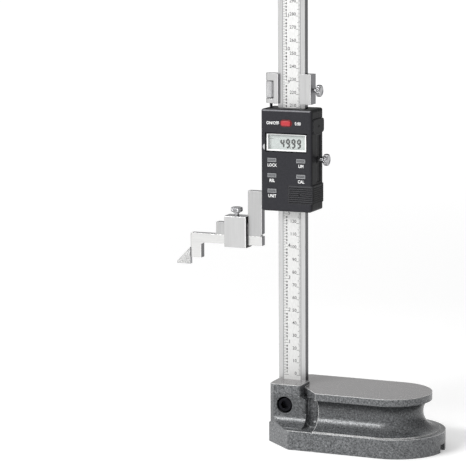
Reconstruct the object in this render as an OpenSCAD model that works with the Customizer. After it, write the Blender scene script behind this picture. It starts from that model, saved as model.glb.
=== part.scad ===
// Digital height gauge: a cast base with a steel beam, a slider with its digital unit and jaw,
// a fine-adjust carriage above it, and a scriber held under the jaw's finger by a screw clamp.
// Millimetres. X runs along the base, Y away from the viewer, Z up. The origin is on the table,
// under the middle of the beam's front face.

/* [Beam and scale] */
// Width of the beam
beam_w = 22.4; // [20:0.2:28]
// Thickness of the beam
beam_t = 6; // [5:0.2:8]
// Height of the beam's top above the table
beam_top = 470; // [465:1:600]
// Height of the beam's lower end above the table
beam_seat = 12; // [9:0.5:14]
// Width of the scale plate
plate_w = 14.6; // [11:0.2:17]
// Thickness of the scale plate
plate_t = 0.4; // [0.3:0.05:1]
// Height of the scale's zero above the table
scale_zero = 50.5; // [50:0.5:60]
// Scale value at the slider's lower edge, as posed
reading = 130.2; // [125:0.1:135]

/* [Base casting] */
// Distance from the beam's middle to the right end of the foot
foot_reach = 123.2; // [115:0.2:160]
// Distance from the beam's middle to the left end of the foot
foot_left = 13.5; // [13:0.5:20]
// Width of the foot, front to back
foot_w = 78; // [74:0.5:100]
// Height of the foot plate
foot_h = 15; // [12:0.5:18]
// Length of each cut corner at the left end
corner_x = 24.2; // [12:0.2:30]
// Depth of each cut corner at the left end
corner_y = 21; // [12:0.5:26]
// Distance from the beam's middle to the platform's right end
platform_reach = 112.6; // [100:0.1:114]
// Width of the platform
platform_w = 63.5; // [58:0.5:70]
// Height of the platform's ground top
platform_z = 44.2; // [40:0.2:47]
// Thickness of the platform's lip
lip_h = 5.7; // [4:0.1:8]
// Overhang of the platform's lip past the neck under it, at least
lip_over = 2; // [1:0.1:4]
// Width of the waist at its narrowest
waist_w = 50; // [40:0.5:56]
// Radius of the cove round the waist
cove_r = 13; // [10:0.2:16]
// Step between the foot's top and the coves
cove_step = 0.8; // [0.4:0.1:1.5]
// Height of the clamp block's machined top
block_top = 47; // [46:0.2:49]
// Distance from the beam's middle to the clamp block's left side
block_left = 11.5; // [11.5:0.1:13]
// Distance from the beam's middle to the clamp block's right side
block_right = 14.6; // [12:0.2:18]
// Depth of the clamp block in front of the beam
block_depth = 20; // [17:0.5:24]
// Radius of the cove at the clamp block's foot
block_cove = 9.4; // [6:0.2:12]
// Radius of the clamp block's front right edge
block_edge = 2.4; // [1:0.2:4]
// Width of the scoop between the clamp block and the waist
scoop_w = 11; // [9:0.5:14]
// Width of the rounded shoulder on the clamp block's right side
shoulder_w = 5; // [3:0.1:6]
// Radius of the shoulder's front edge
shoulder_edge = 4; // [2:0.1:5]
// Drop of the shoulder's slope below the platform's lip
shoulder_drop = 3.4; // [2:0.1:5]
// Distance behind the block's front where the platform's cut corner starts
corner_back = 11; // [8:0.5:13]
// Depth of the relief under the foot
relief_h = 1; // [0.6:0.1:2]
// Width of the ground rim round the relief
rim_w = 12; // [9:0.5:16]
// Width of the notch under the right end
notch_w = 10; // [6:0.5:14]
// Height of the notch under the right end
notch_h = 6; // [4:0.5:8]
// Length of the notch under the right end
notch_l = 22; // [14:1:30]

/* [Beam clamp screw] */
// Height of the screw's axis above the table
clamp_z = 30.9; // [28:0.1:34]
// Diameter of the screw's thread
clamp_d = 8; // [6:0.5:10]
// Diameter of the screw's head
clamp_head_d = 12; // [11:0.5:15]
// Height of the screw's head
clamp_head_h = 8; // [6:0.5:10]
// Size of the hexagon socket, across its flats
clamp_hex = 6; // [5:0.5:7]
// Depth of the head below the block's front
clamp_sink = 1; // [0.5:0.1:2]
// Length of thread behind the beam
clamp_grip = 15; // [10:0.5:18]

/* [Slider frame] */
// Width of the frame's left rail
rail_left = 8.3; // [6:0.1:9]
// Width of the frame's right rail
rail_right = 5.9; // [5:0.1:8]
// Thickness of the frame's web in front of the beam
web_t = 2.6; // [2:0.1:3.5]
// Thickness of the plate behind the beam
back_t = 2; // [1.5:0.1:3]
// Thickness of the gib strip
gib_t = 1.2; // [0.8:0.1:1.6]
// Sliding gap round the beam
slide_gap = 0.1; // [0.05:0.05:0.2]
// Width of the sensor board in the web's window
sensor_w = 17.6; // [12:0.2:20]
// Height of the sensor board in the web's window
sensor_h = 45; // [30:1:54]

/* [Jaw and finger] */
// Thickness of the jaw and finger
jaw_t = 6; // [5:0.2:6]
// Gap between the housing's left side and the jaw block
jaw_gap = 3.7; // [3:0.1:8]
// Width of the jaw block
jaw_w = 11.7; // [8:0.1:14]
// Height of the jaw block above the housing's lower edge
jaw_up = 13.3; // [9:0.5:16]
// Drop of the jaw block below the housing's lower edge
jaw_drop = 22.4; // [20:0.2:30]
// Length of the finger
finger_l = 27.3; // [24:0.2:36]
// Height of the finger
finger_h = 9.7; // [8:0.1:12]
// Cut at the jaw block's lower inner corner
jaw_cut = 1.8; // [0.5:0.1:3]

/* [Scriber] */
// Distance from the beam's middle to the scriber's leg
scriber_reach = 87.3; // [80:0.5:100]
// Height of the scriber's bar
scriber_h = 7.3; // [6:0.1:9]
// Width of the scriber's leg
leg_w = 10; // [8:0.2:12]
// Bevel along the leg's front outer edge
leg_bevel = 1.8; // [0.8:0.1:2.4]
// Drop of the leg below the bar
leg_drop = 12.2; // [10:0.2:16]
// Length of the carbide tip
tip_l = 11.6; // [10:0.2:16]
// Height of the carbide tip at its back
tip_h = 13.4; // [11:0.1:18]
// Height of the carbide tip at its nose
tip_nose = 1.6; // [0.8:0.1:3]
// Thickness of the carbide tip
tip_t = 3.4; // [3:0.2:6]
// Height of the measuring face above the value that the scale reads
tip_over = 2.8; // [0:0.1:3]

/* [Scriber clamp] */
// Width of the clamp along the finger
clamp_box_w = 18.4; // [14:0.2:22]
// Gap between the clamp and the jaw block
clamp_box_gap = 0.6; // [0.3:0.1:2]
// Thickness of the clamp's front and rear walls
clamp_box_side = 2.8; // [2:0.1:4]
// Thickness of the clamp's floor
clamp_box_floor = 1.8; // [1.2:0.1:3]
// Thickness of the clamp's top wall
clamp_box_roof = 5.5; // [4:0.1:8]
// Gap round the finger and the scriber in the clamp
clamp_fit = 0.2; // [0.1:0.05:0.4]
// How far the clamp's screw stands left of its middle
pinch_left = 0.9; // [0:0.1:2]

/* [Fine-adjust carriage] */
// Gap between the housing and the carriage
carriage_gap = 3.1; // [3:0.1:8]
// Height of the carriage
carriage_h = 23.2; // [20:0.1:28]
// Thickness of the carriage's front lips
lip_t = 2.4; // [1.8:0.1:3.2]
// Thickness of the carriage's rear web
carriage_back = 1.9; // [1.5:0.1:3]
// Width of the carriage's left rail
carriage_left = 2.7; // [2:0.1:4]
// Width of the carriage's right rail
carriage_right = 5.5; // [5:0.1:8]
// Reach of the left lip over the beam
lip_left = 1; // [0.6:0.1:2]
// Reach of the right lip over the beam
lip_right = 3.5; // [2:0.1:4]
// Height of the upper nut lug
lug_top = 5.6; // [4:0.1:6.6]
// Height of the lower nut lug
lug_low = 3.6; // [3:0.1:5]
// Radius of the nut lugs' rounded ends
lug_r = 3.9; // [3:0.1:4]
// Diameter of the fine-adjust nut
nut_d = 8; // [6.4:0.1:8.2]
// Diameter of the fine-adjust screw
fine_d = 2.6; // [2:0.1:3]

/* [Thumbscrews] */
// Diameter of the knurled heads
thumb_d = 9.5; // [8:0.1:12]
// Thickness of the knurled heads
thumb_h = 3.8; // [3:0.1:5]
// Diameter of the slider lock screw's thread
lock_d = 4; // [3:0.1:4.6]
// Diameter of the collar under the slider lock screw's head
lock_collar_d = 5; // [4.8:0.1:7]
// Length of the collar under the slider lock screw's head
lock_collar_l = 3.8; // [2:0.1:6]
// Gap between the housing and that collar
lock_out = 1.5; // [1:0.1:4]
// Diameter of the scriber clamp screw's thread
pinch_d = 3.6; // [3:0.1:5]
// Gap under the scriber clamp screw's head
pinch_out = 2.8; // [2:0.1:5]
// Diameter of the carriage clamp screw's thread
trim_d = 3; // [2.4:0.1:4]
// Gap under the carriage clamp screw's head
trim_out = 3.1; // [2:0.1:5]

/* [Housing] */
// Height of the housing
case_h = 79.3; // [70:0.1:95]
// Wall of the housing
case_wall = 1.6; // [1.2:0.1:2]
// Room between the frame and the housing's sides
case_gap = 0.4; // [0.3:0.1:1]
// Room behind the frame's plate
rear_room = 4.3; // [3:0.1:7]
// Radius of the housing's edges seen from above
edge_plan = 2; // [0.6:0.1:2.4]
// Radius of the housing's edges seen from the side
edge_side = 2; // [0.6:0.1:2.4]
// Radius of the housing's corners seen from the front
edge_front = 2.6; // [0.6:0.1:3]
// Diameter of the screw posts
post_d = 3.8; // [3.4:0.1:4.2]
// Diameter of the housing screws
post_screw_d = 2; // [1.6:0.1:2.2]
// Thickness of the raised side covers
cover_t = 1.6; // [1.2:0.1:2.2]
// How far the side covers stand out of the housing's side
cover_out = 0.8; // [0.4:0.1:1.2]
// Gap round covers and buttons
trim_gap = 0.15; // [0.1:0.05:0.3]
// Width of the seam between the two shells
seam_w = 0.3; // [0.2:0.05:0.5]
// Depth of the seam
seam_d = 0.35; // [0.2:0.05:0.6]
// Width of the channel in the right side, round the lock screw
channel_w = 9; // [7:0.5:12]
// Depth of the channel
channel_d = 0.7; // [0.4:0.1:0.8]

/* [Display] */
// Distance from the housing's sides to the display opening
window_side = 4.5; // [3.4:0.1:6]
// Height of the display opening
window_h = 13.8; // [11:0.1:16]
// Thickness of the display window in the opening
window_t = 1; // [0.7:0.1:1.4]
// Width of the white frame round the glass, as seen
frame_edge = 1.1; // [0.6:0.1:2]
// Thickness of the white frame
frame_t = 0.8; // [0.5:0.1:1]
// Thickness of the display glass
glass_t = 1.6; // [1.1:0.1:2]

/* [Buttons] */
// Width of the grey buttons
key_w = 7.3; // [6:0.1:9]
// Height of the grey buttons
key_h = 3; // [2.2:0.1:3.6]
// Width of the red button
power_w = 10; // [8:0.1:12]
// Height of the red button
power_h = 5.5; // [4:0.1:6.4]
// How far the buttons stand out of the housing
key_out = 0.6; // [0.3:0.1:1.2]
// Width of the flange round each button, inside the housing
key_flange = 0.7; // [0.4:0.1:1]
// Thickness of that flange
key_flange_t = 0.7; // [0.5:0.1:1]
// Travel of the buttons
key_travel = 0.6; // [0.4:0.1:0.8]
// Height of the switches under the buttons
switch_h = 1; // [0.7:0.1:1.4]

/* [Battery] */
// Diameter of the button cell
cell_d = 11.6; // [9.5:0.1:13.8]
// Thickness of the button cell
cell_t = 5.4; // [4.2:0.1:6.5]
// Room in front of and behind the cell
cell_gap = 0.15; // [0.1:0.05:0.3]
// Width of the battery cover above and below the cell
cover_edge = 1.4; // [1.2:0.05:3]
// Spacing of the ridges on the battery cover
ridge_pitch = 1.6; // [1.2:0.1:2.4]
// Depth of the grooves between the ridges
ridge_depth = 0.35; // [0.2:0.05:0.5]

/* [Electronics] */
// Thickness of the circuit boards
board_t = 1.2; // [0.8:0.1:1.6]
// Gap between the main board and the frame
board_gap = 0.3; // [0.2:0.05:0.6]
// Width of the data port
port_w = 7; // [5:0.1:8]
// Height of the data port
port_t = 3.2; // [2.6:0.1:3.6]

/* [Hidden] */
$fn = 64;

// Overrun of cuts, sink of joined forms, and the small gaps of seats and threads
over = 1;
sink = 0.4;
seat_gap = 0.05;
run_gap = 0.05;
loose_gap = 0.3;

// Planes and edges that several pieces share
mid_y = beam_t / 2;
half_beam = beam_w / 2;
clamp_x = (block_right - block_left) / 2;
foot_r = foot_w / 2;
foot_cx = foot_reach - foot_r;
platform_r = platform_w / 2;
platform_cx = platform_reach - platform_r;
shoulder_x = block_right + shoulder_w;
crease_x = shoulder_x + scoop_w;
lip_z = platform_z - lip_h;
coves_z = foot_h + cove_step;
waist_r = waist_w / 2;
scoop_r = scoop_w / 2;
stop_d = 2.5;
stop_z = beam_top - 1.2 * stop_d;
stop_head_d = 1.8 * stop_d;
stop_head_h = 0.7 * stop_d;
stop_l = 0.75 * beam_t;

// Slider frame and housing
frame_l = half_beam + slide_gap + rail_left;
rail_in_r = half_beam + gib_t + 2 * slide_gap;
frame_r = rail_in_r + rail_right;
frame_front = -slide_gap - web_t;
frame_back = beam_t + slide_gap;
back_face = frame_back + back_t;
case_l = frame_l + case_gap + case_wall;
case_r = frame_r + case_gap + case_wall;
in_front = frame_front - cell_t - 2 * cell_gap;
case_front = in_front - case_wall;
in_back = back_face + rear_room;
case_back = in_back + case_wall;
case_z0 = scale_zero + reading;
case_z1 = case_z0 + case_h;
frame_z0 = case_z0 + case_wall + case_gap;
frame_z1 = case_z1 - case_wall - case_gap;
frame_h = frame_z1 - frame_z0;
beam_clear = 0.4;

// Heights on the housing, as shares of its height
display_share = 0.6763;
power_share = 0.863;
key_row_shares = [0.5014, 0.3509, 0.2003];
cell_share = 0.172;
port_share = 0.8327;
port_cover_share = 0.1368;
lock_share = 0.5053;
sensor_share = 0.54;
gib_screw_shares = [0.3, 0.72];
back_screw_shares = [0.17, 0.86];
// Height of the carriage's clamp screw, as a share of the carriage's height
trim_share = 0.455;
// Places across the housing, as shares of its half width
key_left_share = -0.565;
key_right_share = 0.571;
cell_x_share = 0.537;
cover_left_share = 0.049;

display_z = case_z0 + display_share * case_h;
power_z = case_z0 + power_share * case_h;
cell_z = case_z0 + cell_share * case_h;
port_z = case_z0 + port_share * case_h;
lock_z = case_z0 + lock_share * case_h;
key_xl = key_left_share * case_l;
key_xr = key_right_share * case_r;
cell_x = cell_x_share * case_r;
cover_l = cover_left_share * case_r;
cover_half = cell_d / 2 + cover_edge;
cover_floor = case_r + cover_out - cover_t;
port_cover_half = port_cover_share * case_h / 2;
port_cover_front = in_front + sink;
window_w = case_l + case_r - 2 * window_side;
window_x = (case_r - case_l) / 2;
window_flange = 1;
window_flange_t = 0.5;
board_y1 = frame_front - board_gap;
board_y0 = board_y1 - board_t;
port_y = (in_front + board_y0) / 2;
glass_y1 = in_front + window_flange_t + frame_t + glass_t;
sensor_z = frame_z0 + sensor_share * frame_h;

// Screw posts: left and right of the beam, low and high in the housing
post_r = post_d / 2;
post_xl = -half_beam - slide_gap - 0.6 * post_d;
post_xr = rail_in_r + rail_right / 2;
post_zl = case_z0 + case_wall + 0.55 * post_d;
post_zh = case_z1 - case_wall - 0.55 * post_d;
post_places = [[post_xl, post_zl], [post_xr, post_zl], [post_xl, post_zh], [post_xr, post_zh]];
post_head_d = 1.9 * post_screw_d;
post_head_h = 0.6 * post_screw_d;
post_head_sink = 0.5 * case_wall;
post_boss_wall = 0.6;
post_boss_r = post_head_d / 2 + trim_gap + post_boss_wall;
plate_screw_d = 2;
plate_screw_l = 5;
plate_screw_head_d = 1.9 * plate_screw_d;
plate_screw_head_h = 0.6 * plate_screw_d;
plate_screw_xl = -half_beam - slide_gap - rail_left / 2;
gib_screw_d = 2.5;

// Fine adjustment: the screw stands in a lug of the frame and passes both lugs of the carriage
fine_x = -half_beam - slide_gap - carriage_left - lug_r - 0.1 * lug_r;
fine_lug_wall = 0.8;
fine_lug_l = -fine_x + fine_d / 2 + fine_lug_wall;
fine_lug_r = mid_y + slide_gap;
fine_lug_h = 11;
fine_hole_h = 10;
carriage_z0 = case_z1 + carriage_gap;
carriage_z1 = carriage_z0 + carriage_h;
carriage_mid = carriage_z0 + trim_share * carriage_h;
carriage_in = half_beam + slide_gap;
fine_top = carriage_z1 - lug_top / 2;
nut_gap = loose_gap;
trim_pad_t = 1;
trim_tip = carriage_in + trim_pad_t + 3 * run_gap;

// Jaw, finger and scriber
jaw_in = case_l + jaw_gap;
jaw_out = jaw_in + jaw_w;
jaw_z0 = case_z0 - jaw_drop;
jaw_z1 = case_z0 + jaw_up;
finger_z1 = jaw_z0 + finger_h;
jaw_y0 = mid_y - jaw_t / 2;
bar_z1 = jaw_z0 - slide_gap;
bar_z0 = bar_z1 - scriber_h;
leg_z0 = bar_z0 - leg_drop;
tip_z0 = reading + tip_over;
leg_cut = leg_w / 8;
box_r = -jaw_out - clamp_box_gap;
box_l = box_r - clamp_box_w;
box_x = (box_l + box_r) / 2 - pinch_left;
box_z0 = bar_z0 - clamp_fit - clamp_box_floor;
box_z1 = finger_z1 + clamp_fit + clamp_box_roof;
box_half = jaw_t / 2 + clamp_fit + clamp_box_side;
lock_tip = rail_in_r + slide_gap;
knurl_count = 30;
knurl_share = 0.035;

// Helper forms

// A rectangle from one corner to the other with round corners
module round_plate(x0, y0, x1, y1, r) {
    translate([x0 + r, y0]) square([x1 - x0 - 2 * r, y1 - y0]);
    translate([x0, y0 + r]) square([x1 - x0, y1 - y0 - 2 * r]);
    for (x = [x0 + r, x1 - r], y = [y0 + r, y1 - r]) translate([x, y]) circle(r = r);
}

// A box from one corner to the other
module box(a, b) {
    translate(a) cube(b - a);
}

// Turns a cylinder or a profile so that its axis runs along +Y from the given point
module along_y(x, y, z) {
    translate([x, y, z]) rotate([-90, 0, 0]) children();
}

// The same along +X
module along_x(x, y, z) {
    translate([x, y, z]) rotate([0, 90, 0]) children();
}

// Extrudes an outline drawn in X and Z from y0 to y1
module plate_xz(y0, y1) {
    translate([0, y1, 0]) rotate([90, 0, 0]) linear_extrude(y1 - y0) children();
}

// Extrudes an outline drawn in Y and Z from x0 to x1
module plate_yz(x0, x1) {
    translate([x0, 0, 0]) rotate([90, 0, 90]) linear_extrude(x1 - x0) children();
}

// A knurled head: a toothed disc between two plain faces
module knurled_disc(d, h) {
    rim = d / 2;
    root = rim * (1 - 2 * knurl_share);
    face = h / 5;
    bevel = rim / 7;
    core = root - bevel / 4;
    rotate_extrude() polygon([[0, 0], [root - bevel, 0], [core, face], [core, h - face],
                              [root - bevel, h], [0, h]]);
    translate([0, 0, face]) linear_extrude(h - 2 * face)
        polygon([for (i = [0 : 2 * knurl_count - 1])
            let (a = i * 180 / knurl_count, r = i % 2 == 0 ? rim : root) [r * cos(a), r * sin(a)]]);
}

// A thumbscrew along +Z: tip at zero, thread to the head's seat, collar and knurled head
module thumbscrew(d, reach, collar_d, collar_l) {
    point = d / 6;
    rotate_extrude() polygon([[0, 0], [d / 2 - point, 0], [d / 2, point],
                              [d / 2, reach - collar_l], [collar_d / 2, reach - collar_l],
                              [collar_d / 2, reach + sink], [0, reach + sink]]);
    translate([0, 0, reach]) knurled_disc(thumb_d, thumb_h);
}

// A pan-head screw along +Z from its tip, with a cross slot in the head
module pan_screw(d, l, head_d, head_h) {
    slot = d / 4;
    cylinder(d = d, h = l + sink);
    translate([0, 0, l]) difference() {
        cylinder(d = head_d, h = head_h);
        for (a = [0, 90]) rotate([0, 0, a])
            translate([-head_d / 3, -slot / 2, head_h / 2]) cube([2 * head_d / 3, slot, head_h]);
    }
}

// Outline of the foot: cut corners at the left, a half circle at the right
module foot_outline() {
    polygon([[-foot_left, mid_y - foot_r + corner_y], [corner_x - foot_left, mid_y - foot_r],
             [foot_cx, mid_y - foot_r], [foot_cx, mid_y + foot_r],
             [corner_x - foot_left, mid_y + foot_r], [-foot_left, mid_y + foot_r - corner_y]]);
    translate([foot_cx, mid_y]) circle(r = foot_r, $fn = 128);
}

// Half section of the waist: r outwards, z up, a round cove between foot and lip
module waist_section() {
    cove_x = waist_r + cove_r;
    cove_z = coves_z + cove_r;
    difference() {
        union() {
            translate([0, foot_h - sink]) square([cove_x, cove_z - foot_h + sink]);
            translate([0, foot_h - sink])
                square([platform_r - lip_over, lip_z - foot_h + 2 * sink]);
        }
        translate([cove_x, cove_z]) circle(r = cove_r, $fn = 96);
    }
}

// The scoop between block and waist: a round-bottomed groove that runs out to the front
module scoop() {
    z = coves_z + scoop_r;
    translate([shoulder_x + scoop_r, -block_depth, z]) {
        sphere(r = scoop_r);
        cylinder(r = scoop_r, h = lip_z - z);
        rotate([90, 0, 0]) cylinder(r = scoop_r, h = foot_w);
        translate([-scoop_r, -foot_w, 0]) cube([scoop_w, foot_w, lip_z - z]);
    }
}

// What rounds the block's upright front edge at the given X, from z0 to z1
module round_edge(x, r, z0, z1) {
    translate([x - r, r - block_depth, z0]) difference() {
        translate([0, -r - over, 0]) cube([r + over, r + over, z1 - z0]);
        cylinder(r = r, h = z1 - z0);
    }
}

module base_body() {
    // Waist: a straight stretch on each side and a half turn round the right end
    translate([0, mid_y, 0]) {
        plate_yz(-block_left, platform_cx) waist_section();
        mirror([0, 1, 0]) plate_yz(crease_x, platform_cx) waist_section();
    }
    translate([platform_cx, mid_y, 0]) rotate([0, 0, -90])
        rotate_extrude(angle = 180, $fn = 128) waist_section();
    // Core and clamp block in front of the beam
    difference() {
        union() {
            box([-block_left, -block_depth, foot_h - sink],
                [crease_x + sink, mid_y + sink, lip_z + sink]);
            box([-block_left, -block_depth - block_cove, foot_h - sink], [shoulder_x, mid_y, coves_z]);
            translate([0, -block_depth, coves_z]) mirror([0, 1, 0])
                plate_yz(-block_left, shoulder_x) difference() {
                    translate([-sink, -sink]) square(block_cove + sink);
                    translate([block_cove, block_cove]) circle(r = block_cove);
                }
        }
        scoop();
        // Slope and round front edge of the block's shoulder
        plate_xz(-block_depth - over, corner_back - block_depth)
            polygon([[block_right, lip_z], [shoulder_x + over, lip_z - shoulder_drop],
                     [shoulder_x + over, lip_z + over], [block_right, lip_z + over]]);
        round_edge(shoulder_x, shoulder_edge, coves_z + block_cove, lip_z + over);
    }
    difference() {
        box([-block_left, -block_depth, lip_z - sink], [block_right, 0, block_top]);
        round_edge(block_right, block_edge, lip_z - over, block_top + over);
    }
    // Platform with its lip
    translate([0, 0, lip_z]) linear_extrude(lip_h) {
        polygon([[-block_left, mid_y + platform_r], [platform_cx, mid_y + platform_r],
                 [platform_cx, mid_y - platform_r], [crease_x, mid_y - platform_r],
                 [block_right - sink, corner_back - block_depth],
                 [-block_left, corner_back - block_depth]]);
        translate([platform_cx, mid_y]) circle(r = platform_r, $fn = 128);
    }
}

module base_casting() {
    color("dimgray") difference() {
        intersection() {
            union() {
                linear_extrude(foot_h) foot_outline();
                base_body();
            }
            linear_extrude(block_top + over) foot_outline();
        }
        // Slot that holds the beam
        box([-block_left - over, -seat_gap, foot_h],
            [half_beam + seat_gap, beam_t + seat_gap, block_top + over]);
        box([-half_beam - seat_gap, -seat_gap, beam_seat],
            [half_beam + seat_gap, beam_t + seat_gap, foot_h + over]);
        // Counterbore, clearance hole and thread of the clamp screw
        along_y(clamp_x, -block_depth - block_cove, clamp_z) {
            cylinder(d = clamp_head_d + clamp_head_d / 10, h = block_cove + clamp_head_h + clamp_sink);
            cylinder(d = clamp_d + 2 * loose_gap, h = block_depth + block_cove + sink);
            cylinder(d = clamp_d + 2 * seat_gap,
                     h = block_depth + block_cove + beam_t + clamp_grip + over);
        }
        // Relief and notch under the foot
        translate([0, 0, -over]) linear_extrude(relief_h + over) {
            translate([block_right + rim_w, mid_y - foot_r + rim_w])
                square([foot_cx - block_right - rim_w, foot_w - 2 * rim_w]);
            translate([foot_cx, mid_y]) circle(r = foot_r - rim_w, $fn = 128);
        }
        box([foot_reach - notch_l, mid_y - notch_w / 2, -over],
            [foot_reach + over, mid_y + notch_w / 2, notch_h]);
    }
}

module beam() {
    bevel = beam_t / 8;
    color("silver") difference() {
        box([-half_beam, 0, beam_seat + seat_gap], [half_beam, beam_t, beam_top]);
        box([-plate_w / 2, -over, beam_seat - over], [plate_w / 2, plate_t, beam_top + over]);
        along_y(clamp_x, -over, clamp_z) cylinder(d = clamp_d + 2 * loose_gap, h = beam_t + 2 * over);
        along_y(0, beam_t - stop_l, stop_z) cylinder(d = stop_d + 2 * seat_gap, h = stop_l + over);
        for (s = [-1, 1]) translate([s * half_beam, 0, beam_top]) rotate([0, 45, 0])
            translate([-bevel, -over, -bevel]) cube([2 * bevel, beam_t + 2 * over, 2 * bevel]);
    }
}

module scale_plate() {
    color("whitesmoke") difference() {
        box([-plate_w / 2, 0, beam_seat + seat_gap], [plate_w / 2, plate_t, beam_top - beam_t / 8]);
        along_y(clamp_x, -over, clamp_z) cylinder(d = clamp_d + 2 * loose_gap, h = beam_t);
    }
}

module beam_clamp_screw() {
    bevel = clamp_head_h / 10;
    color("black") along_y(clamp_x, -block_depth + clamp_sink, clamp_z) difference() {
        rotate_extrude() polygon([[0, 0], [clamp_head_d / 2 - bevel, 0], [clamp_head_d / 2, bevel],
                                  [clamp_head_d / 2, clamp_head_h], [clamp_d / 2, clamp_head_h],
                                  [clamp_d / 2, block_depth - clamp_sink + beam_t + clamp_grip],
                                  [0, block_depth - clamp_sink + beam_t + clamp_grip]]);
        translate([0, 0, -over]) cylinder(d = clamp_hex / cos(30), h = clamp_head_h / 2 + over, $fn = 6);
    }
}

module beam_stop_screw() {
    color("dimgray") along_y(0, beam_t - stop_l, stop_z) pan_screw(stop_d, stop_l, stop_head_d, stop_head_h);
}

module slider_frame() {
    color("lightsteelblue") difference() {
        union() {
            box([-frame_l, frame_front, frame_z0], [frame_r, frame_back, frame_z1]);
            // Jaw block and finger
            plate_xz(jaw_y0, jaw_y0 + jaw_t)
                polygon([[-jaw_out - finger_l, jaw_z0], [-jaw_in - jaw_cut, jaw_z0],
                         [-jaw_in, jaw_z0 + jaw_cut], [-jaw_in, frame_z0],
                         [-frame_l + sink, frame_z0], [-frame_l + sink, jaw_z1],
                         [-jaw_out, jaw_z1], [-jaw_out, finger_z1], [-jaw_out - finger_l, finger_z1]]);
            // Lug for the fine-adjust screw
            box([-fine_lug_l, mid_y - fine_lug_r, frame_z1 - fine_lug_h],
                [-half_beam - slide_gap - sink, frame_back, frame_z1]);
        }
        // Channel for the beam and the gib
        box([-half_beam - slide_gap, -slide_gap, frame_z0 - over],
            [rail_in_r, frame_back + over, frame_z1 + over]);
        // Window for the sensor board
        box([-sensor_w / 2 - trim_gap, frame_front - over, sensor_z - sensor_h / 2 - trim_gap],
            [sensor_w / 2 + trim_gap, 0, sensor_z + sensor_h / 2 + trim_gap]);
        translate([fine_x, mid_y, frame_z1 - fine_hole_h])
            cylinder(d = fine_d + 2 * seat_gap, h = fine_hole_h + over);
        along_x(rail_in_r - over, mid_y, lock_z)
            cylinder(d = lock_d + 2 * run_gap, h = rail_right + 2 * over);
        for (s = gib_screw_shares) along_x(rail_in_r - over, mid_y, frame_z0 + s * frame_h)
            cylinder(d = gib_screw_d + 2 * seat_gap, h = rail_right + 2 * over);
        for (p = post_places) along_y(p[0], frame_front - over, p[1])
            cylinder(d = post_screw_d + 2 * seat_gap, h = frame_back - frame_front + 2 * over);
        for (x = [plate_screw_xl, post_xr], s = back_screw_shares)
            along_y(x, frame_back - plate_screw_l, frame_z0 + s * frame_h)
                cylinder(d = plate_screw_d + 2 * seat_gap, h = plate_screw_l + over);
    }
}

module slider_back_plate() {
    color("silver") difference() {
        box([-frame_l, frame_back, frame_z0], [frame_r, back_face, frame_z1]);
        for (p = post_places) along_y(p[0], frame_back - over, p[1])
            cylinder(d = post_screw_d + 2 * seat_gap, h = back_t + 2 * over);
        for (x = [plate_screw_xl, post_xr], s = back_screw_shares)
            along_y(x, frame_back - over, frame_z0 + s * frame_h)
                cylinder(d = plate_screw_d + 2 * seat_gap, h = back_t + 2 * over);
    }
}

module back_plate_screws() {
    color("dimgray") for (x = [plate_screw_xl, post_xr], s = back_screw_shares)
        along_y(x, back_face - plate_screw_l, frame_z0 + s * frame_h)
            pan_screw(plate_screw_d, plate_screw_l, plate_screw_head_d, plate_screw_head_h);
}

module gib_strip() {
    color("goldenrod") box([half_beam + slide_gap, slide_gap, frame_z0 + gib_t],
                           [half_beam + slide_gap + gib_t, beam_t - slide_gap, frame_z1 - gib_t]);
}

module gib_screws() {
    color("dimgray") for (s = gib_screw_shares) along_x(rail_in_r, mid_y, frame_z0 + s * frame_h)
        difference() {
            cylinder(d = gib_screw_d, h = rail_right - gib_screw_d / 4);
            translate([0, 0, rail_right / 2]) cylinder(d = gib_screw_d / 2, h = rail_right, $fn = 6);
        }
}

// The housing's outer form: a block whose edges are round in all three views
module housing_form() {
    intersection() {
        translate([0, 0, case_z0]) linear_extrude(case_h)
            round_plate(-case_l, case_front, case_r, case_back, edge_plan);
        plate_yz(-case_l, case_r) round_plate(case_front, case_z0, case_back, case_z1, edge_side);
        plate_xz(case_front, case_back) round_plate(-case_l, case_z0, case_r, case_z1, edge_front);
    }
}

// What both shells are cut with: the hollow, the beam's passage and the side openings
module housing_cuts() {
    box([case_wall - case_l, in_front, case_z0 + case_wall],
        [case_r - case_wall, in_back, case_z1 - case_wall]);
    box([-half_beam - beam_clear, -beam_clear, case_z0 - over],
        [half_beam + beam_clear, beam_t + beam_clear, case_z1 + over]);
    // Jaw arm and fine-adjust lug through the left wall, fine-adjust screw through the top
    box([-case_l - over, jaw_y0 - trim_gap, frame_z0 - trim_gap],
        [0, jaw_y0 + jaw_t + trim_gap, jaw_z1 + trim_gap]);
    box([-case_l - over, mid_y - fine_lug_r - trim_gap, frame_z1 - fine_lug_h - trim_gap],
        [0, frame_back + trim_gap, frame_z1 + trim_gap]);
    translate([fine_x, mid_y, frame_z1])
        cylinder(d = fine_d + 4 * loose_gap, h = case_z1 - frame_z1 + over);
    // Lock screw through the right wall
    along_x(0, mid_y, lock_z) cylinder(d = lock_d + 4 * loose_gap, h = case_r + over);
    // Seam between the shells and channel between the side covers
    difference() {
        box([-case_l - over, mid_y - seam_w / 2, case_z0 - over],
            [case_r + over, mid_y + seam_w / 2, case_z1 + over]);
        box([seam_d - case_l, mid_y - seam_w, case_z0 + seam_d],
            [case_r - seam_d, mid_y + seam_w, case_z1 - seam_d]);
    }
    box([case_r - channel_d, mid_y - channel_w / 3, cell_z + cover_half + case_wall],
        [case_r + over, mid_y + 2 * channel_w / 3, port_z - port_cover_half - case_wall]);
    // Seats of the side covers
    box([cover_floor - trim_gap, case_front - over, cell_z - cover_half - trim_gap],
        [case_r + over, case_back + over, cell_z + cover_half + trim_gap]);
    box([cover_floor - trim_gap, port_cover_front - trim_gap, port_z - port_cover_half - trim_gap],
        [case_r + over, case_back + over, port_z + port_cover_half + trim_gap]);
}

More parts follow.
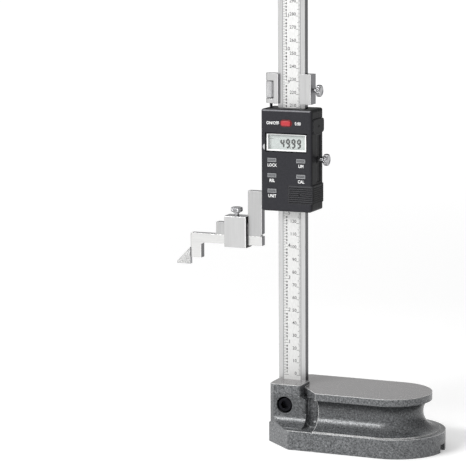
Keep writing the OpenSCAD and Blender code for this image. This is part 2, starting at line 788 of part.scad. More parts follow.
module housing_front() {
    color("#3b3b3f") difference() {
        union() {
            difference() {
                intersection() {
                    housing_form();
                    box([-case_l - over, case_front - over, case_z0 - over],
                        [case_r + over, mid_y, case_z1 + over]);
                }
                housing_cuts();
            }
            for (p = post_places) along_y(p[0], in_front - sink, p[1])
                cylinder(r = post_r, h = frame_front - in_front + sink);
        }
        for (p = post_places) along_y(p[0], in_front + sink, p[1])
            cylinder(d = post_screw_d + 2 * seat_gap, h = frame_front - in_front + over);
        // Display opening, button openings, battery opening and data port
        plate_xz(case_front - over, in_front + over)
            round_plate(window_x - window_w / 2, display_z - window_h / 2,
                        window_x + window_w / 2, display_z + window_h / 2, window_t / 2);
        for (z_share = key_row_shares) key_hole(key_xl, case_z0 + z_share * case_h);
        for (i = [0, 1]) key_hole(key_xr, case_z0 + key_row_shares[i] * case_h);
        plate_xz(case_front - over, in_front + over) power_outline(trim_gap);
        box([cover_l - trim_gap, case_front - over, cell_z - cover_half - trim_gap],
            [case_r + over, in_front + over / 2, cell_z + cover_half + trim_gap]);
        box([frame_r, port_y - port_t / 2, port_z - port_w / 2],
            [case_r, port_y + port_t / 2, port_z + port_w / 2]);
    }
}

module housing_rear() {
    color("#37373b") difference() {
        union() {
            difference() {
                intersection() {
                    housing_form();
                    box([-case_l - over, mid_y, case_z0 - over],
                        [case_r + over, case_back + over, case_z1 + over]);
                }
                housing_cuts();
            }
            for (p = post_places) along_y(p[0], back_face, p[1])
                cylinder(r = post_boss_r, h = rear_room + sink);
        }
        for (p = post_places) along_y(p[0], back_face - over, p[1]) {
            cylinder(d = post_screw_d + 2 * loose_gap, h = case_back - back_face + 2 * over);
            translate([0, 0, rear_room + case_wall - post_head_sink - post_head_h + over])
                cylinder(d = post_head_d + 2 * trim_gap, h = case_wall + over);
        }
    }
}

module housing_screws() {
    head_y = case_back - post_head_sink - post_head_h;
    tip_y = in_front + 2 * sink;
    color("dimgray") for (p = post_places) along_y(p[0], tip_y, p[1])
        pan_screw(post_screw_d, head_y - tip_y, post_head_d, post_head_h);
}

module lcd_window() {
    half_w = window_w / 2 - seat_gap;
    half_h = window_h / 2 - seat_gap;
    color("lightgray", 0.4) {
        plate_xz(in_front - window_t, in_front + sink / 2)
            round_plate(window_x - half_w, display_z - half_h, window_x + half_w, display_z + half_h,
                        window_t / 2);
        plate_xz(in_front, in_front + window_flange_t)
            display_square(window_flange);
    }
}

// The display's rectangle, larger than its opening by an edge
module display_square(edge) {
    translate([window_x - window_w / 2 - edge, display_z - window_h / 2 - edge])
        square([window_w + 2 * edge, window_h + 2 * edge]);
}

module lcd_frame() {
    color("white") plate_xz(in_front + window_flange_t, in_front + window_flange_t + frame_t)
        difference() {
            display_square(window_flange);
            display_square(-frame_edge);
        }
}

module lcd_glass() {
    color("#b9c2bd") plate_xz(glass_y1 - glass_t, glass_y1) display_square(window_flange / 2);
}

module lcd_connectors() {
    strip_h = 1.5 * glass_t;
    color("#50505a") for (s = [-1, 1], z = [display_z + s * (window_h - strip_h) / 2])
        box([window_x - window_w / 2, glass_y1, z - strip_h / 2],
            [window_x + window_w / 2, board_y0, z + strip_h / 2]);
}

module main_board() {
    color("darkgreen") plate_xz(board_y0, board_y1) difference() {
        translate([-frame_l, frame_z0]) square([frame_l + frame_r, frame_h]);
        translate([cell_x, cell_z]) circle(d = cell_d + 2 * loose_gap);
        for (p = post_places) translate([p[0], p[1]]) circle(r = post_r + loose_gap);
    }
}

module sensor_board() {
    color("green") box([-sensor_w / 2, -loose_gap - board_t, sensor_z - sensor_h / 2],
                       [sensor_w / 2, -loose_gap, sensor_z + sensor_h / 2]);
}

// The six keys: each place as [x, z]
function key_place(i) = i < 3 ? [key_xl, case_z0 + key_row_shares[i] * case_h]
                      : i < 5 ? [key_xr, case_z0 + key_row_shares[i - 3] * case_h]
                      : [window_x, power_z];

module key_switches() {
    color("gray") for (i = [0 : 5]) along_y(key_place(i)[0], board_y0 - switch_h, key_place(i)[1])
        cylinder(d = key_h + switch_h, h = switch_h);
}

module key_hole(x, z) {
    plate_xz(case_front - over, in_front + over)
        translate([x - key_w / 2 - trim_gap, z - key_h / 2 - trim_gap])
            square([key_w + 2 * trim_gap, key_h + 2 * trim_gap]);
}

// Outline of the red button, wider by an edge: round at both ends
module power_outline(edge) {
    r = power_h / 2;
    x = power_w / 2 - r;
    translate([window_x, power_z]) {
        for (s = [-1, 1]) translate([s * x, 0]) circle(r = r + edge);
        translate([-x, -r - edge]) square([2 * x, 2 * (r + edge)]);
    }
}

// Flange and stem behind a button, which end just in front of its switch
module key_stem(x, z, w, h) {
    flange_y = in_front + trim_gap;
    stem_d = 0.8 * key_h;
    stem_y = board_y0 - switch_h - key_travel - trim_gap;
    box([x - w / 2 - key_flange, flange_y, z - h / 2 - key_flange],
        [x + w / 2 + key_flange, flange_y + key_flange_t, z + h / 2 + key_flange]);
    along_y(x, flange_y, z) cylinder(d = stem_d, h = stem_y - flange_y);
}

// A grey button: a cap with a bevelled rim and three shallow ribs across it
module grey_button(i) {
    x = key_place(i)[0];
    z = key_place(i)[1];
    rib = key_h / 7;
    color("#8d8f93") {
        difference() {
            box([x - key_w / 2, case_front - key_out, z - key_h / 2],
                [x + key_w / 2, in_front + trim_gap + sink, z + key_h / 2]);
            for (rib_z = [z - 1.5 * rib, z + 1.5 * rib])
                box([x - key_w / 2 - over, case_front - key_out - over, rib_z - rib / 2],
                    [x + key_w / 2 + over, case_front - key_out / 2, rib_z + rib / 2]);
        }
        key_stem(x, z, key_w, key_h);
    }
}

module button_hold() { grey_button(0); }
module button_abs() { grey_button(1); }
module button_units() { grey_button(2); }
module button_tol() { grey_button(3); }
module button_set() { grey_button(4); }

module button_power() {
    crown = 0.77 * power_w;
    color("#dc323c") {
        plate_xz(case_front, in_front + trim_gap + sink) power_outline(0);
        plate_xz(case_front - key_out, case_front + sink) intersection() {
            power_outline(-key_flange / 2);
            translate([window_x - crown / 2, power_z - power_h / 2]) square([crown, power_h]);
        }
        key_stem(window_x, power_z, power_w, power_h);
    }
}

module battery() {
    bevel = cell_t / 12;
    color("silver") along_y(cell_x, in_front + cell_gap, cell_z)
        rotate_extrude() polygon([[0, 0], [cell_d / 2 - 2 * bevel, 0], [cell_d / 2 - 2 * bevel, bevel],
                                  [cell_d / 2, bevel], [cell_d / 2, cell_t - bevel],
                                  [cell_d / 2 - bevel, cell_t], [0, cell_t]]);
}

// An open spring clip round the cell, which stands on the main board
module battery_contacts() {
    clip_in = cell_d / 2 + seat_gap;
    clip_t = 0.35;
    clip_h = (board_y0 - in_front) / 2;
    color("khaki") along_y(cell_x, board_y0 - clip_h, cell_z) difference() {
        cylinder(r = clip_in + clip_t, h = clip_h);
        translate([0, 0, -over]) cylinder(r = clip_in, h = clip_h + 2 * over);
        translate([cell_d / 4, -cell_d, -over]) cube([cell_d, 2 * cell_d, clip_h + 2 * over]);
    }
}

module port_connector() {
    pin_room = port_t / 2;
    color("#202022") difference() {
        box([frame_r - port_w, in_front + loose_gap, port_z - port_w / 2 - loose_gap],
            [case_r - case_wall - seat_gap, board_y0, port_z + port_w / 2 + loose_gap]);
        box([frame_r - port_w / 2, port_y - pin_room / 2, port_z - port_w / 2 + loose_gap],
            [case_r, port_y + pin_room / 2, port_z + port_w / 2 - loose_gap]);
    }
}

module battery_cover() {
    rows = floor((2 * cover_half - ridge_pitch) / ridge_pitch);
    dimple_d = 2.2;
    color("#333337") difference() {
        intersection() {
            union() {
                box([cover_l, case_front, cell_z - cover_half],
                    [case_r + cover_out, in_front, cell_z + cover_half]);
                box([cover_floor, case_front, cell_z - cover_half],
                    [case_r + cover_out, case_back, cell_z + cover_half]);
            }
            translate([0, 0, case_z0]) linear_extrude(case_h)
                round_plate(-case_l, case_front, case_r + cover_out, case_back, edge_plan);
        }
        for (i = [0 : rows]) {
            z = cell_z - cover_half + (i + 0.5) * ridge_pitch;
            box([cover_l + ridge_pitch / 2, case_front - over, z],
                [case_r + cover_out + over, case_front + ridge_depth, z + ridge_pitch / 3]);
            box([case_r + cover_out - ridge_depth, case_front - over, z],
                [case_r + cover_out + over, case_back - edge_plan, z + ridge_pitch / 3]);
        }
        along_y(cell_x, case_front - over, cell_z) cylinder(d = dimple_d, h = over + 2 * ridge_depth);
    }
}

module port_cover() {
    tongue = port_w - 4 * trim_gap;
    dimple_d = 2;
    color("#333337") difference() {
        union() {
            plate_yz(cover_floor, case_r + cover_out)
                round_plate(port_cover_front, port_z - port_cover_half,
                            case_back, port_z + port_cover_half, edge_front);
            box([case_r - case_wall + trim_gap, port_y - port_t / 2 + trim_gap, port_z - tongue / 2],
                [cover_floor + sink, port_y + port_t / 2 - trim_gap, port_z + tongue / 2]);
        }
        along_x(case_r + cover_out - ridge_depth, mid_y, port_z) cylinder(d = dimple_d, h = over);
    }
}

module slider_lock_screw() {
    reach = case_r + lock_out + lock_collar_l - lock_tip;
    color("silver") along_x(lock_tip, mid_y, lock_z)
        thumbscrew(lock_d, reach, lock_collar_d, lock_collar_l);
}

module fine_screw() {
    color("dimgray") translate([fine_x, mid_y, frame_z1 - fine_hole_h])
        cylinder(d = fine_d, h = fine_top - frame_z1 + fine_hole_h);
}

module fine_nut() {
    h = carriage_h - lug_top - lug_low - 2 * nut_gap;
    edge = nut_d / 14;
    color("silver") translate([fine_x, mid_y, carriage_z0 + lug_low + nut_gap]) difference() {
        rotate_extrude() polygon([[0, 0], [nut_d / 2 - edge, 0], [nut_d / 2, edge],
                                  [nut_d / 2, h - edge], [nut_d / 2 - edge, h], [0, h]]);
        translate([0, 0, -over]) cylinder(d = fine_d + 2 * run_gap, h = h + 2 * over);
    }
}

// One nut lug: a tab with a round end
module nut_lug(z, h) {
    translate([0, 0, z]) linear_extrude(h) {
        translate([fine_x, mid_y]) circle(r = lug_r);
        translate([fine_x, mid_y - lug_r])
            square([-fine_x - carriage_in - carriage_left + sink, 2 * lug_r]);
    }
}

module carriage_frame() {
    color("lightsteelblue") difference() {
        union() {
            translate([0, 0, carriage_z0]) linear_extrude(carriage_h) {
                // Section: rear web, two rails and a lip in front of each beam edge
                translate([-carriage_in - carriage_left, beam_t + slide_gap])
                    square([2 * carriage_in + carriage_left + carriage_right, carriage_back]);
                translate([-carriage_in - carriage_left, -slide_gap - lip_t])
                    square([carriage_left, beam_t + 2 * slide_gap + lip_t + sink]);
                translate([carriage_in, -slide_gap - lip_t])
                    square([carriage_right, beam_t + 2 * slide_gap + lip_t + sink]);
                translate([-carriage_in - sink, -slide_gap - lip_t])
                    square([slide_gap + sink + lip_left, lip_t]);
                translate([half_beam - lip_right, -slide_gap - lip_t])
                    square([slide_gap + sink + lip_right, lip_t]);
            }
            nut_lug(carriage_z0, lug_low);
            nut_lug(carriage_z1 - lug_top, lug_top);
        }
        translate([fine_x, mid_y, carriage_z0 - over])
            cylinder(d = fine_d + 2 * trim_gap, h = carriage_h + 2 * over);
        along_x(carriage_in - over, mid_y, carriage_mid)
            cylinder(d = trim_d + 2 * run_gap, h = carriage_right + 2 * over);
    }
}

module carriage_pad() {
    color("goldenrod") along_x(carriage_in + run_gap, mid_y, carriage_mid)
        cylinder(d = trim_d, h = trim_pad_t);
}

module carriage_clamp_screw() {
    reach = carriage_in + carriage_right + trim_out - trim_tip;
    color("silver") along_x(trim_tip, mid_y, carriage_mid)
        thumbscrew(trim_d, reach, 1.4 * trim_d, trim_out / 3);
}

module scriber_clamp() {
    color("lightsteelblue") difference() {
        plate_yz(box_l, box_r)
            round_plate(mid_y - box_half, box_z0, mid_y + box_half, box_z1, clamp_box_floor / 3);
        box([box_l - over, jaw_y0 - clamp_fit, bar_z0 - clamp_fit],
            [box_r + over, jaw_y0 + jaw_t + clamp_fit, finger_z1 + clamp_fit]);
        translate([box_x, mid_y, finger_z1])
            cylinder(d = pinch_d + 2 * run_gap, h = clamp_box_roof + 2 * over);
    }
}

module scriber_clamp_screw() {
    tip = finger_z1 + clamp_fit / 2;
    reach = box_z1 + pinch_out - tip;
    color("silver") translate([box_x, mid_y, tip]) thumbscrew(pinch_d, reach, 1.5 * pinch_d, pinch_out / 3);
}

module scriber_bar() {
    color("gainsboro") difference() {
        plate_xz(jaw_y0, jaw_y0 + jaw_t)
            polygon([[-scriber_reach, leg_z0], [leg_w - scriber_reach, leg_z0],
                     [leg_w - scriber_reach, bar_z0 - leg_cut], [leg_w - scriber_reach + leg_cut, bar_z0],
                     [-jaw_in, bar_z0], [-jaw_in, bar_z1],
                     [-scriber_reach + leg_cut, bar_z1], [-scriber_reach, bar_z1 - leg_cut]]);
        translate([-scriber_reach, jaw_y0, leg_z0 - over]) rotate([0, 0, 45])
            translate([-leg_bevel, -leg_bevel, 0])
                cube([leg_bevel + leg_bevel / sqrt(2), 2 * leg_bevel, bar_z1 - leg_z0 + 2 * over]);
    }
}

module carbide_tip() {
    color("slategray") plate_xz(mid_y - tip_t / 2, mid_y + tip_t / 2)
        polygon([[-scriber_reach - tip_l, tip_z0], [-scriber_reach, tip_z0],
                 [-scriber_reach, tip_z0 + tip_h], [-scriber_reach - tip_l, tip_z0 + tip_nose]]);
}

base_casting();
beam();
scale_plate();
beam_clamp_screw();
beam_stop_screw();
slider_frame();
slider_back_plate();
back_plate_screws();
gib_strip();
gib_screws();
housing_front();
housing_rear();
housing_screws();
lcd_window();
lcd_frame();
lcd_glass();
lcd_connectors();
main_board();
sensor_board();
key_switches();
battery();
battery_contacts();
port_connector();
button_power();
button_hold();
button_abs();
button_units();
button_tol();
button_set();
battery_cover();
port_cover();
slider_lock_screw();
fine_screw();
fine_nut();
carriage_frame();
carriage_pad();
carriage_clamp_screw();
scriber_clamp();
scriber_clamp_screw();
scriber_bar();
carbide_tip();
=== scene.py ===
"""Digital height gauge on a cast base, dressed for the camera.

The CAD frame gives every machined form. This file adds what is too fine for it: the engraved
scale, the display's digits, legends, knurls, the fine thread, painted highlight along edges
and painted shade on sides and hollows, and gives every node the finish of its real material.
All lengths are in metres unless a name ends in _mm.
"""
import math

import bpy
import numpy as np
from mathutils import Matrix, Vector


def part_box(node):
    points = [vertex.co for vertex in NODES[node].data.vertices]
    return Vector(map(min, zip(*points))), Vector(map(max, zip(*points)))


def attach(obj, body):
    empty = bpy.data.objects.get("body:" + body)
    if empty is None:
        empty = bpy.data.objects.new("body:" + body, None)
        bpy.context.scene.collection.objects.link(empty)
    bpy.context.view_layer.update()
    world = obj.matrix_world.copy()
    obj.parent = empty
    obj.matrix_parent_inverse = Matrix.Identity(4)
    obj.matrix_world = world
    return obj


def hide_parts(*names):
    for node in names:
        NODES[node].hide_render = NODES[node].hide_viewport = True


bl_info = {
    "name": "Digital height gauge",
    "version": (1, 0, 0),
    "blender": (4, 5, 0),
    "location": "View3D > Sidebar > Height gauge",
    "description": "Marks, legends, knurls and finishes for a digital height gauge",
    "category": "Object",
}

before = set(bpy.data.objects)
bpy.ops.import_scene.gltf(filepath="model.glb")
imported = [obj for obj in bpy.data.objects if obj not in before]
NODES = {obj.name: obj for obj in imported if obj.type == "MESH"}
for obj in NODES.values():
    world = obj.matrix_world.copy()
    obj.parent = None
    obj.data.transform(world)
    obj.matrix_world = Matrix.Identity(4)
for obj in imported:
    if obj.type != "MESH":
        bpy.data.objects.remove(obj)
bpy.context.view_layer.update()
MM = 0.001
INCH = 25.4 * MM

# The photograph's camera, worked out from the scale's marks: angles in radians, place in metres
PHOTO_SIDE_PX = 466
PHOTO_FOCAL_PX = 2368.5
PHOTO_YAW = 0.413846
PHOTO_PITCH = 0.157148
PHOTO_ROLL = -0.006486
PHOTO_PLACE = (0.68664, -1.67676, 0.45009)

# The base casting: the heights of its foot's rim and of the start and end of the painted shade
# in its waist, and the X of the crease beside the block
FOOT_RIM = 15 * MM
WAIST_STARTS = (15.5 * MM, 17.5 * MM)
WAIST_ENDS = (38 * MM, 39.5 * MM)
CREASE = 30.6 * MM
# How far down from its top it is ground bare and its edges carry a painted highlight, and how
# far from the rim and the crease, and from the front, that highlight reaches
GROUND_DOWN = 3.6 * MM
HIGHLIGHT_DOWN = 4.2 * MM
HIGHLIGHT_REACH = 1.4 * MM
FRONT_REACH = 1.2 * MM

# The knurls of the thumbscrews and of the nut, the nut's bore and bevel, and the fine thread
KNURL_TEETH = 26
KNURL_PITCH = 1.15 * MM
NUT_GROOVES = 40
NUT_GROOVE_DEPTH = 0.09 * MM
NUT_BORE = 1.42 * MM
NUT_BEVEL = 0.6 * MM
THREAD_DEPTH = 0.3 * MM
# The heads' bevel as steps inwards from the rim and up from the seat
HEAD_BEVEL_MM = ((1.1, 0), (0.3, 0.35), (0, 0.9))
# Each thumbscrew's node and body, its shank's and collar's radius and its collar's length
THUMBSCREWS = (("slider_lock_screw", "lock_screw", 2.0 * MM, 2.5 * MM, 3.8 * MM),
               ("carriage_clamp_screw", "carriage_screw", 1.5 * MM, 2.1 * MM, 1.03 * MM),
               ("scriber_clamp_screw", "clamp_screw", 1.8 * MM, 2.7 * MM, 0.93 * MM))

# Digits as the segments that are lit, and each segment's two ends, counted in widths and half
# heights from the digit's lower left corner
SEGMENTS = {"0": "abcdef", "1": "bc", "2": "abged", "3": "abgcd", "4": "fgbc", "5": "afgcd",
            "6": "afgedc", "7": "abc", "8": "abcdefg", "9": "abcdfg"}
SEGMENT_ENDS = {"a": (0, 2, 1, 2), "b": (1, 1, 1, 2), "c": (1, 0, 1, 1), "d": (0, 0, 1, 0),
                "e": (0, 0, 0, 1), "f": (0, 1, 0, 2), "g": (0, 1, 1, 1)}

# The keys' domed middles: half their width and height, their rise and how square they are
POWER_PAD = (3.9 * MM, 1.85 * MM, 0.3 * MM, 5.0)
GREY_PAD = (3.0 * MM, 0.62 * MM, 0.12 * MM, 4.0)

# Thickness of ink and filling, a capital's share of its font's size, and rays that find edges
INK = 0.02 * MM
CAPITAL_SHARE = 0.7
EDGE_RAYS = 6


# Meshes


def grid_faces(rows, columns, wrap_rows=False, wrap_columns=False):
    """Quads that join a rows by columns grid of points, closed round either way if asked."""
    r = np.arange(rows if wrap_rows else rows - 1)
    c = np.arange(columns if wrap_columns else columns - 1)
    r, c = np.meshgrid(r, c, indexing="ij")
    r1, c1 = (r + 1) % rows, (c + 1) % columns
    quads = np.stack([r * columns + c, r * columns + c1, r1 * columns + c1, r1 * columns + c], -1)
    return quads.reshape(-1, 4)


def surface(name, points, faces, material, body, smooth=True):
    """A piece from an (n, 3) array of points in metres and an array of faces."""
    mesh = bpy.data.meshes.new(name)
    mesh.from_pydata(np.asarray(points).tolist(), [], [list(face) for face in faces])
    mesh.polygons.foreach_set("use_smooth", [smooth] * len(mesh.polygons))
    mesh.validate()
    mesh.update()
    piece = bpy.data.objects.new(name, mesh)
    bpy.context.scene.collection.objects.link(piece)
    mesh.materials.append(material)
    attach(piece, body)
    return piece


def plates(name, outlines, depth, front, material, body):
    """Thin closed plates from outlines of equal length in X and Z, with their fronts at one Y and
    their backs a depth behind. Each has a front face, a back face and a wall of quads round it."""
    outlines = np.asarray(outlines, float)
    count, sides, _ = outlines.shape
    points = np.concatenate([np.insert(outlines, 1, y, axis=2) for y in (front, front + depth)], 1)
    ring = np.arange(sides)
    after = (ring + 1) % sides
    wall = np.stack([ring, ring + sides, after + sides, after], -1)
    start = np.arange(count)[:, None] * 2 * sides
    caps = [start + ring, start + ring[::-1] + sides]
    walls = (start[:, :, None] + wall[None]).reshape(-1, 4)
    faces = [face.tolist() for cap in caps for face in cap] + walls.tolist()
    return surface(name, points.reshape(-1, 3), faces, material, body, smooth=False)


def bar_outlines(x0, x1, z0, z1):
    """Rectangles in X and Z as outlines, anticlockwise seen from the front."""
    x0, x1, z0, z1 = np.broadcast_arrays(x0, x1, z0, z1)
    return np.stack([np.stack([x0, z0], -1), np.stack([x1, z0], -1),
                     np.stack([x1, z1], -1), np.stack([x0, z1], -1)], 1)


def lettering(name, words, weight, width, material, body):
    """Words as one mesh. Each word is (text, x, y, z, height, align): upright, facing the front.
    The strokes are thickened by weight, a share of the height, and width narrows the letters."""
    points, faces, start = [], [], 0
    for text, x, y, z, height, align in words:
        curve = bpy.data.curves.new(name, "FONT")
        curve.body = text
        curve.size = height / CAPITAL_SHARE
        curve.offset = weight * height
        curve.align_x = align
        curve.align_y = "BOTTOM_BASELINE"
        curve.extrude = INK / 2
        curve.resolution_u = 2
        holder = bpy.data.objects.new(name, curve)
        mesh = bpy.data.meshes.new_from_object(holder)
        mesh.transform(Matrix.Translation((x, y, z)) @ Matrix.Rotation(math.pi / 2, 4, "X")
                       @ Matrix.Diagonal((width, 1, 1, 1)))
        coordinates = np.empty(len(mesh.vertices) * 3)
        mesh.vertices.foreach_get("co", coordinates)
        points.append(coordinates.reshape(-1, 3))
        faces += [[start + i for i in f.vertices] for f in mesh.polygons]
        start += len(mesh.vertices)
        bpy.data.objects.remove(holder)
        bpy.data.curves.remove(curve)
        bpy.data.meshes.remove(mesh)
    return surface(name, np.concatenate(points), faces, material, body, smooth=False)


def round_angles(count):
    """Even angles round one turn."""
    return np.linspace(0, 2 * np.pi, count + 1)[:-1]


def turned(profile, sides, relief, ring=False):
    """A turned solid round Z. profile is (n, 2) of radius and height from the lower pole to the
    upper one; relief(angle, height, radius) gives how far the surface lies below that radius.
    A point is (r cos a, r sin a, h). Each pole is closed by its ring of radius zero, and the
    profile of a ring is closed on itself."""
    angle = round_angles(sides)
    radius = np.repeat(profile[:, :1], sides, axis=1)
    height = np.repeat(profile[:, 1:], sides, axis=1)
    radius = np.maximum(radius - relief(angle[None], height, radius), 0)
    points = np.stack([radius * np.cos(angle), radius * np.sin(angle), height], -1)
    return points.reshape(-1, 3), grid_faces(len(profile), sides, ring, True)


def triangle_wave(turns):
    """Rises from 0 to 1 and falls back to 0 once per turn."""
    return 1 - np.abs(2 * (turns - np.floor(turns)) - 1)


def denser(profile, step):
    """The profile with points added so that none lie more than a step apart."""
    profile = np.asarray(profile, float)
    out = [profile[:1]]
    for a, b in zip(profile[:-1], profile[1:]):
        parts = max(1, math.ceil(np.linalg.norm(b - a) / step))
        out.append(a + (b - a) * np.linspace(0, 1, parts + 1)[1:, None])
    return np.concatenate(out)


def cushion(centre, half_x, half_z, rise, power):
    """A low closed pad that faces the front: |x/a|^p + |z/b|^p = s^p runs from its middle to its
    rim, and it stands out by rise (1 - s^4); its back is flat."""
    rings, sides = 9, 48
    out = np.linspace(0, 1, rings)
    share = np.concatenate([out, [1.0, 0.0]])[:, None]
    front = np.concatenate([rise * (1 - out ** 4), [0, 0]])[:, None]
    angle = round_angles(sides)[None]
    c, s = np.cos(angle), np.sin(angle)
    x = half_x * share * np.sign(c) * np.abs(c) ** (2 / power)
    z = half_z * share * np.sign(s) * np.abs(s) ** (2 / power)
    points = np.stack([centre[0] + x, centre[1] - front + 0 * x, centre[2] + z], -1)
    return points.reshape(-1, 3), grid_faces(len(share), sides, wrap_columns=True)[:, ::-1]


def foot_of(node):
    """The middle of the lower face of a node's box."""
    low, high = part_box(node)
    return (low.x + high.x) / 2, (low.y + high.y) / 2, low.z


# Colours and finishes


def linear(code):
    """sRGB hex text such as '#3b3b3f' as linear RGBA."""
    srgb = np.array([int(code[i:i + 2], 16) for i in (1, 3, 5)]) / 255
    rgb = np.where(srgb <= 0.04045, srgb / 12.92, ((srgb + 0.055) / 1.055) ** 2.4)
    return (*rgb.tolist(), 1.0)


def paler(code, step):
    """The sRGB colour raised by a step in each channel."""
    return "#" + "".join(f"{min(255, int(code[i:i + 2], 16) + step):02x}" for i in (1, 3, 5))


def add(tree, kind, *inputs, out=0, **settings):
    """Adds a node and returns one of its outputs. Inputs fill its first sockets in order and
    settings name its attributes or more sockets; an output given to a socket is linked."""
    node = tree.nodes.new("ShaderNode" + kind)
    for name in [name for name in settings if hasattr(node, name)]:
        setattr(node, name, settings.pop(name))
    for name, value in (*enumerate(inputs), *settings.items()):
        socket = node.inputs[name.replace("_", " ") if isinstance(name, str) else name]
        if isinstance(value, bpy.types.NodeSocket):
            tree.links.new(socket, value)
        elif value is not None:
            socket.default_value = value
    return node.outputs[out] if node.outputs else None


def new_material(name):
    """An empty material and its tree."""
    material = bpy.data.materials.new(name)
    material.use_nodes = True
    material.node_tree.nodes.clear()
    return material, material.node_tree


def finished(material, **sockets):
    """The material with its shader, whose sockets get the values or outputs given."""
    tree = material.node_tree
    add(tree, "OutputMaterial", add(tree, "BsdfPrincipled", **sockets))
    return material


def merged(tree, operation, first, *others):
    """Masks or measures made one: MULTIPLY keeps what all of them share, MAXIMUM what any has."""
    for other in others:
        first = add(tree, "Math", first, other, operation=operation)
    return first


def own(tree, kind, axis):
    """The X, Y or Z part of the object's own coordinates: of its Object position or its Normal."""
    return add(tree, "SeparateXYZ", add(tree, "TexCoord", out=kind), out=axis)


def stretched(tree, cell_mm):
    """Object position in units of a grain: a cell of the given size in millimetres is one unit."""
    scale = tuple(1 / (size * MM) for size in cell_mm)
    return add(tree, "Mapping", add(tree, "TexCoord", out="Object"), Scale=scale)


def grain(tree, cell_mm, detail=2.0, roughness=0.5):
    """Noise whose grains have the given size in millimetres along X, Y and Z."""
    return add(tree, "TexNoise", stretched(tree, cell_mm), Scale=1.0, Detail=detail,
               Roughness=roughness)


def tint(tree, pattern, dark, light, under=None, where=None, low=0.3, high=0.7):
    """A colour that goes from dark to light as a pattern rises from low to high. If another
    colour is given, it is laid over that one where the mask is 1."""
    colour = add(tree, "ValToRGB", pattern)
    for stop, place, code in zip(colour.node.color_ramp.elements, (low, high), (dark, light)):
        stop.position = place
        stop.color = linear(code)
    if under is None:
        return colour
    # Five sockets that mix numbers and vectors lie before those for colours
    others = [None] * 5
    return add(tree, "Mix", where, *others, under, colour, out=2, data_type="RGBA")


def relief(tree, height, depth_mm, edge_mm):
    """Normals of a surface with a relief of the given depth and edges broken to a radius."""
    eased = add(tree, "Bevel", edge_mm * MM, samples=EDGE_RAYS)
    return add(tree, "Bump", Height=height, Normal=eased, Strength=1.0, Distance=depth_mm * MM)


def edges(tree, radius_mm, low=0.01, high=0.12):
    """1 along edges, 0 on faces: how far the eased normal turns away from the face's own."""
    eased = add(tree, "Bevel", radius_mm * MM, samples=EDGE_RAYS)
    true_normal = add(tree, "NewGeometry", out="Normal")
    turn = add(tree, "VectorMath", eased, true_normal, out="Value", operation="DOT_PRODUCT")
    return add(tree, "MapRange", turn, 1 - low, 1 - high, 0.0, 1.0)


def facing(tree, axis, least=0.7, sign=None):
    """1 where the surface faces along an axis, both ways unless a sign is given."""
    part = own(tree, "Normal", axis)
    if sign is None:
        part = add(tree, "Math", part, operation="ABSOLUTE")
    else:
        part = add(tree, "Math", part, sign, operation="MULTIPLY")
    return add(tree, "Math", part, least, operation="GREATER_THAN")


def right_corners(tree, radius_mm):
    """1 along the corners that turn to the right, where the eased normal swings towards +X."""
    eased = add(tree, "Bevel", radius_mm * MM, samples=EDGE_RAYS)
    swing = add(tree, "MapRange", add(tree, "SeparateXYZ", eased, out="X"), 0.12, 0.3, 0.0, 1.0)
    front = add(tree, "Math", 1.0, facing(tree, "X", 0.8), operation="SUBTRACT")
    return merged(tree, "MULTIPLY", swing, front)


def steel(name, dark, light, lengthwise, rough, edge_mm=0.25, sides=None, shaded_tops=None,
          shaded_tops_from=0.8, streak_mm=0.45, highlight_mm=None):
    """Ground or satin steel: fine straight scratches left by the wheel along one axis, which
    streak the reflection, and edges broken to a small radius. The scratches are drawn coarser
    than real ones, which the picture couldn't show. Painted shade darkens the sides that face
    along X, and the faces that look up, where a colour for them is given; chamfers count as
    looking up from the slope given. A painted highlight runs bright along the corners that turn
    to the right where a width for it is given."""
    material, tree = new_material(name)
    cell = [streak_mm] * 3
    cell[lengthwise] = 30.0
    scratches = grain(tree, cell, detail=4.0, roughness=0.6)
    colour = tint(tree, scratches, dark, light)
    # Painted shade: the sides that face along X are darker
    if sides:
        colour = tint(tree, scratches, sides, paler(sides, 22), colour, facing(tree, "X", 0.8))
    # Painted shade: the faces that look up, and chamfers from the slope given, are darker
    if shaded_tops:
        upward = facing(tree, "Z", shaded_tops_from, 1.0)
        colour = tint(tree, scratches, shaded_tops, paler(shaded_tops, 22), colour, upward)
    # Painted highlight: a bright line along the corners that turn to the right
    if highlight_mm:
        corner = right_corners(tree, highlight_mm)
        colour = tint(tree, scratches, "#efefef", "#fbfbfb", colour, corner)
    shine = add(tree, "MapRange", scratches, 0.0, 1.0, rough - 0.07, rough + 0.07)
    return finished(material, Base_Color=colour, Metallic=1.0, Roughness=shine,
                    Normal=relief(tree, scratches, 0.004, edge_mm))


def moulded(name, dark, light, rough, grain_mm=0.35, depth_mm=0.012, specular=0.5, sides=None,
            grooves=None):
    """Moulded plastic or rubber: an even spark-eroded grain that softens the shine. Painted shade
    darkens the sides that face along X where a colour for them is given, and runs as dark lines
    along its edges, between its ribs, where a colour for that is given."""
    material, tree = new_material(name)
    texture = grain(tree, (grain_mm,) * 3, detail=3.0)
    colour = tint(tree, texture, dark, light)
    # Painted shade: the sides that face along X are darker
    if sides:
        colour = tint(tree, texture, sides, paler(sides, 12), colour, facing(tree, "X", 0.8))
    # Painted shade: dark lines along its edges, between the ribs
    if grooves:
        steps = edges(tree, 0.55, 0.002, 0.035)
        colour = tint(tree, texture, grooves, paler(grooves, 6), colour, steps)
    shine = add(tree, "MapRange", texture, 0.0, 1.0, rough - 0.05, rough + 0.05)
    return finished(material, Base_Color=colour, Roughness=shine, Specular_IOR_Level=specular,
                    Normal=relief(tree, texture, depth_mm, 0.3))


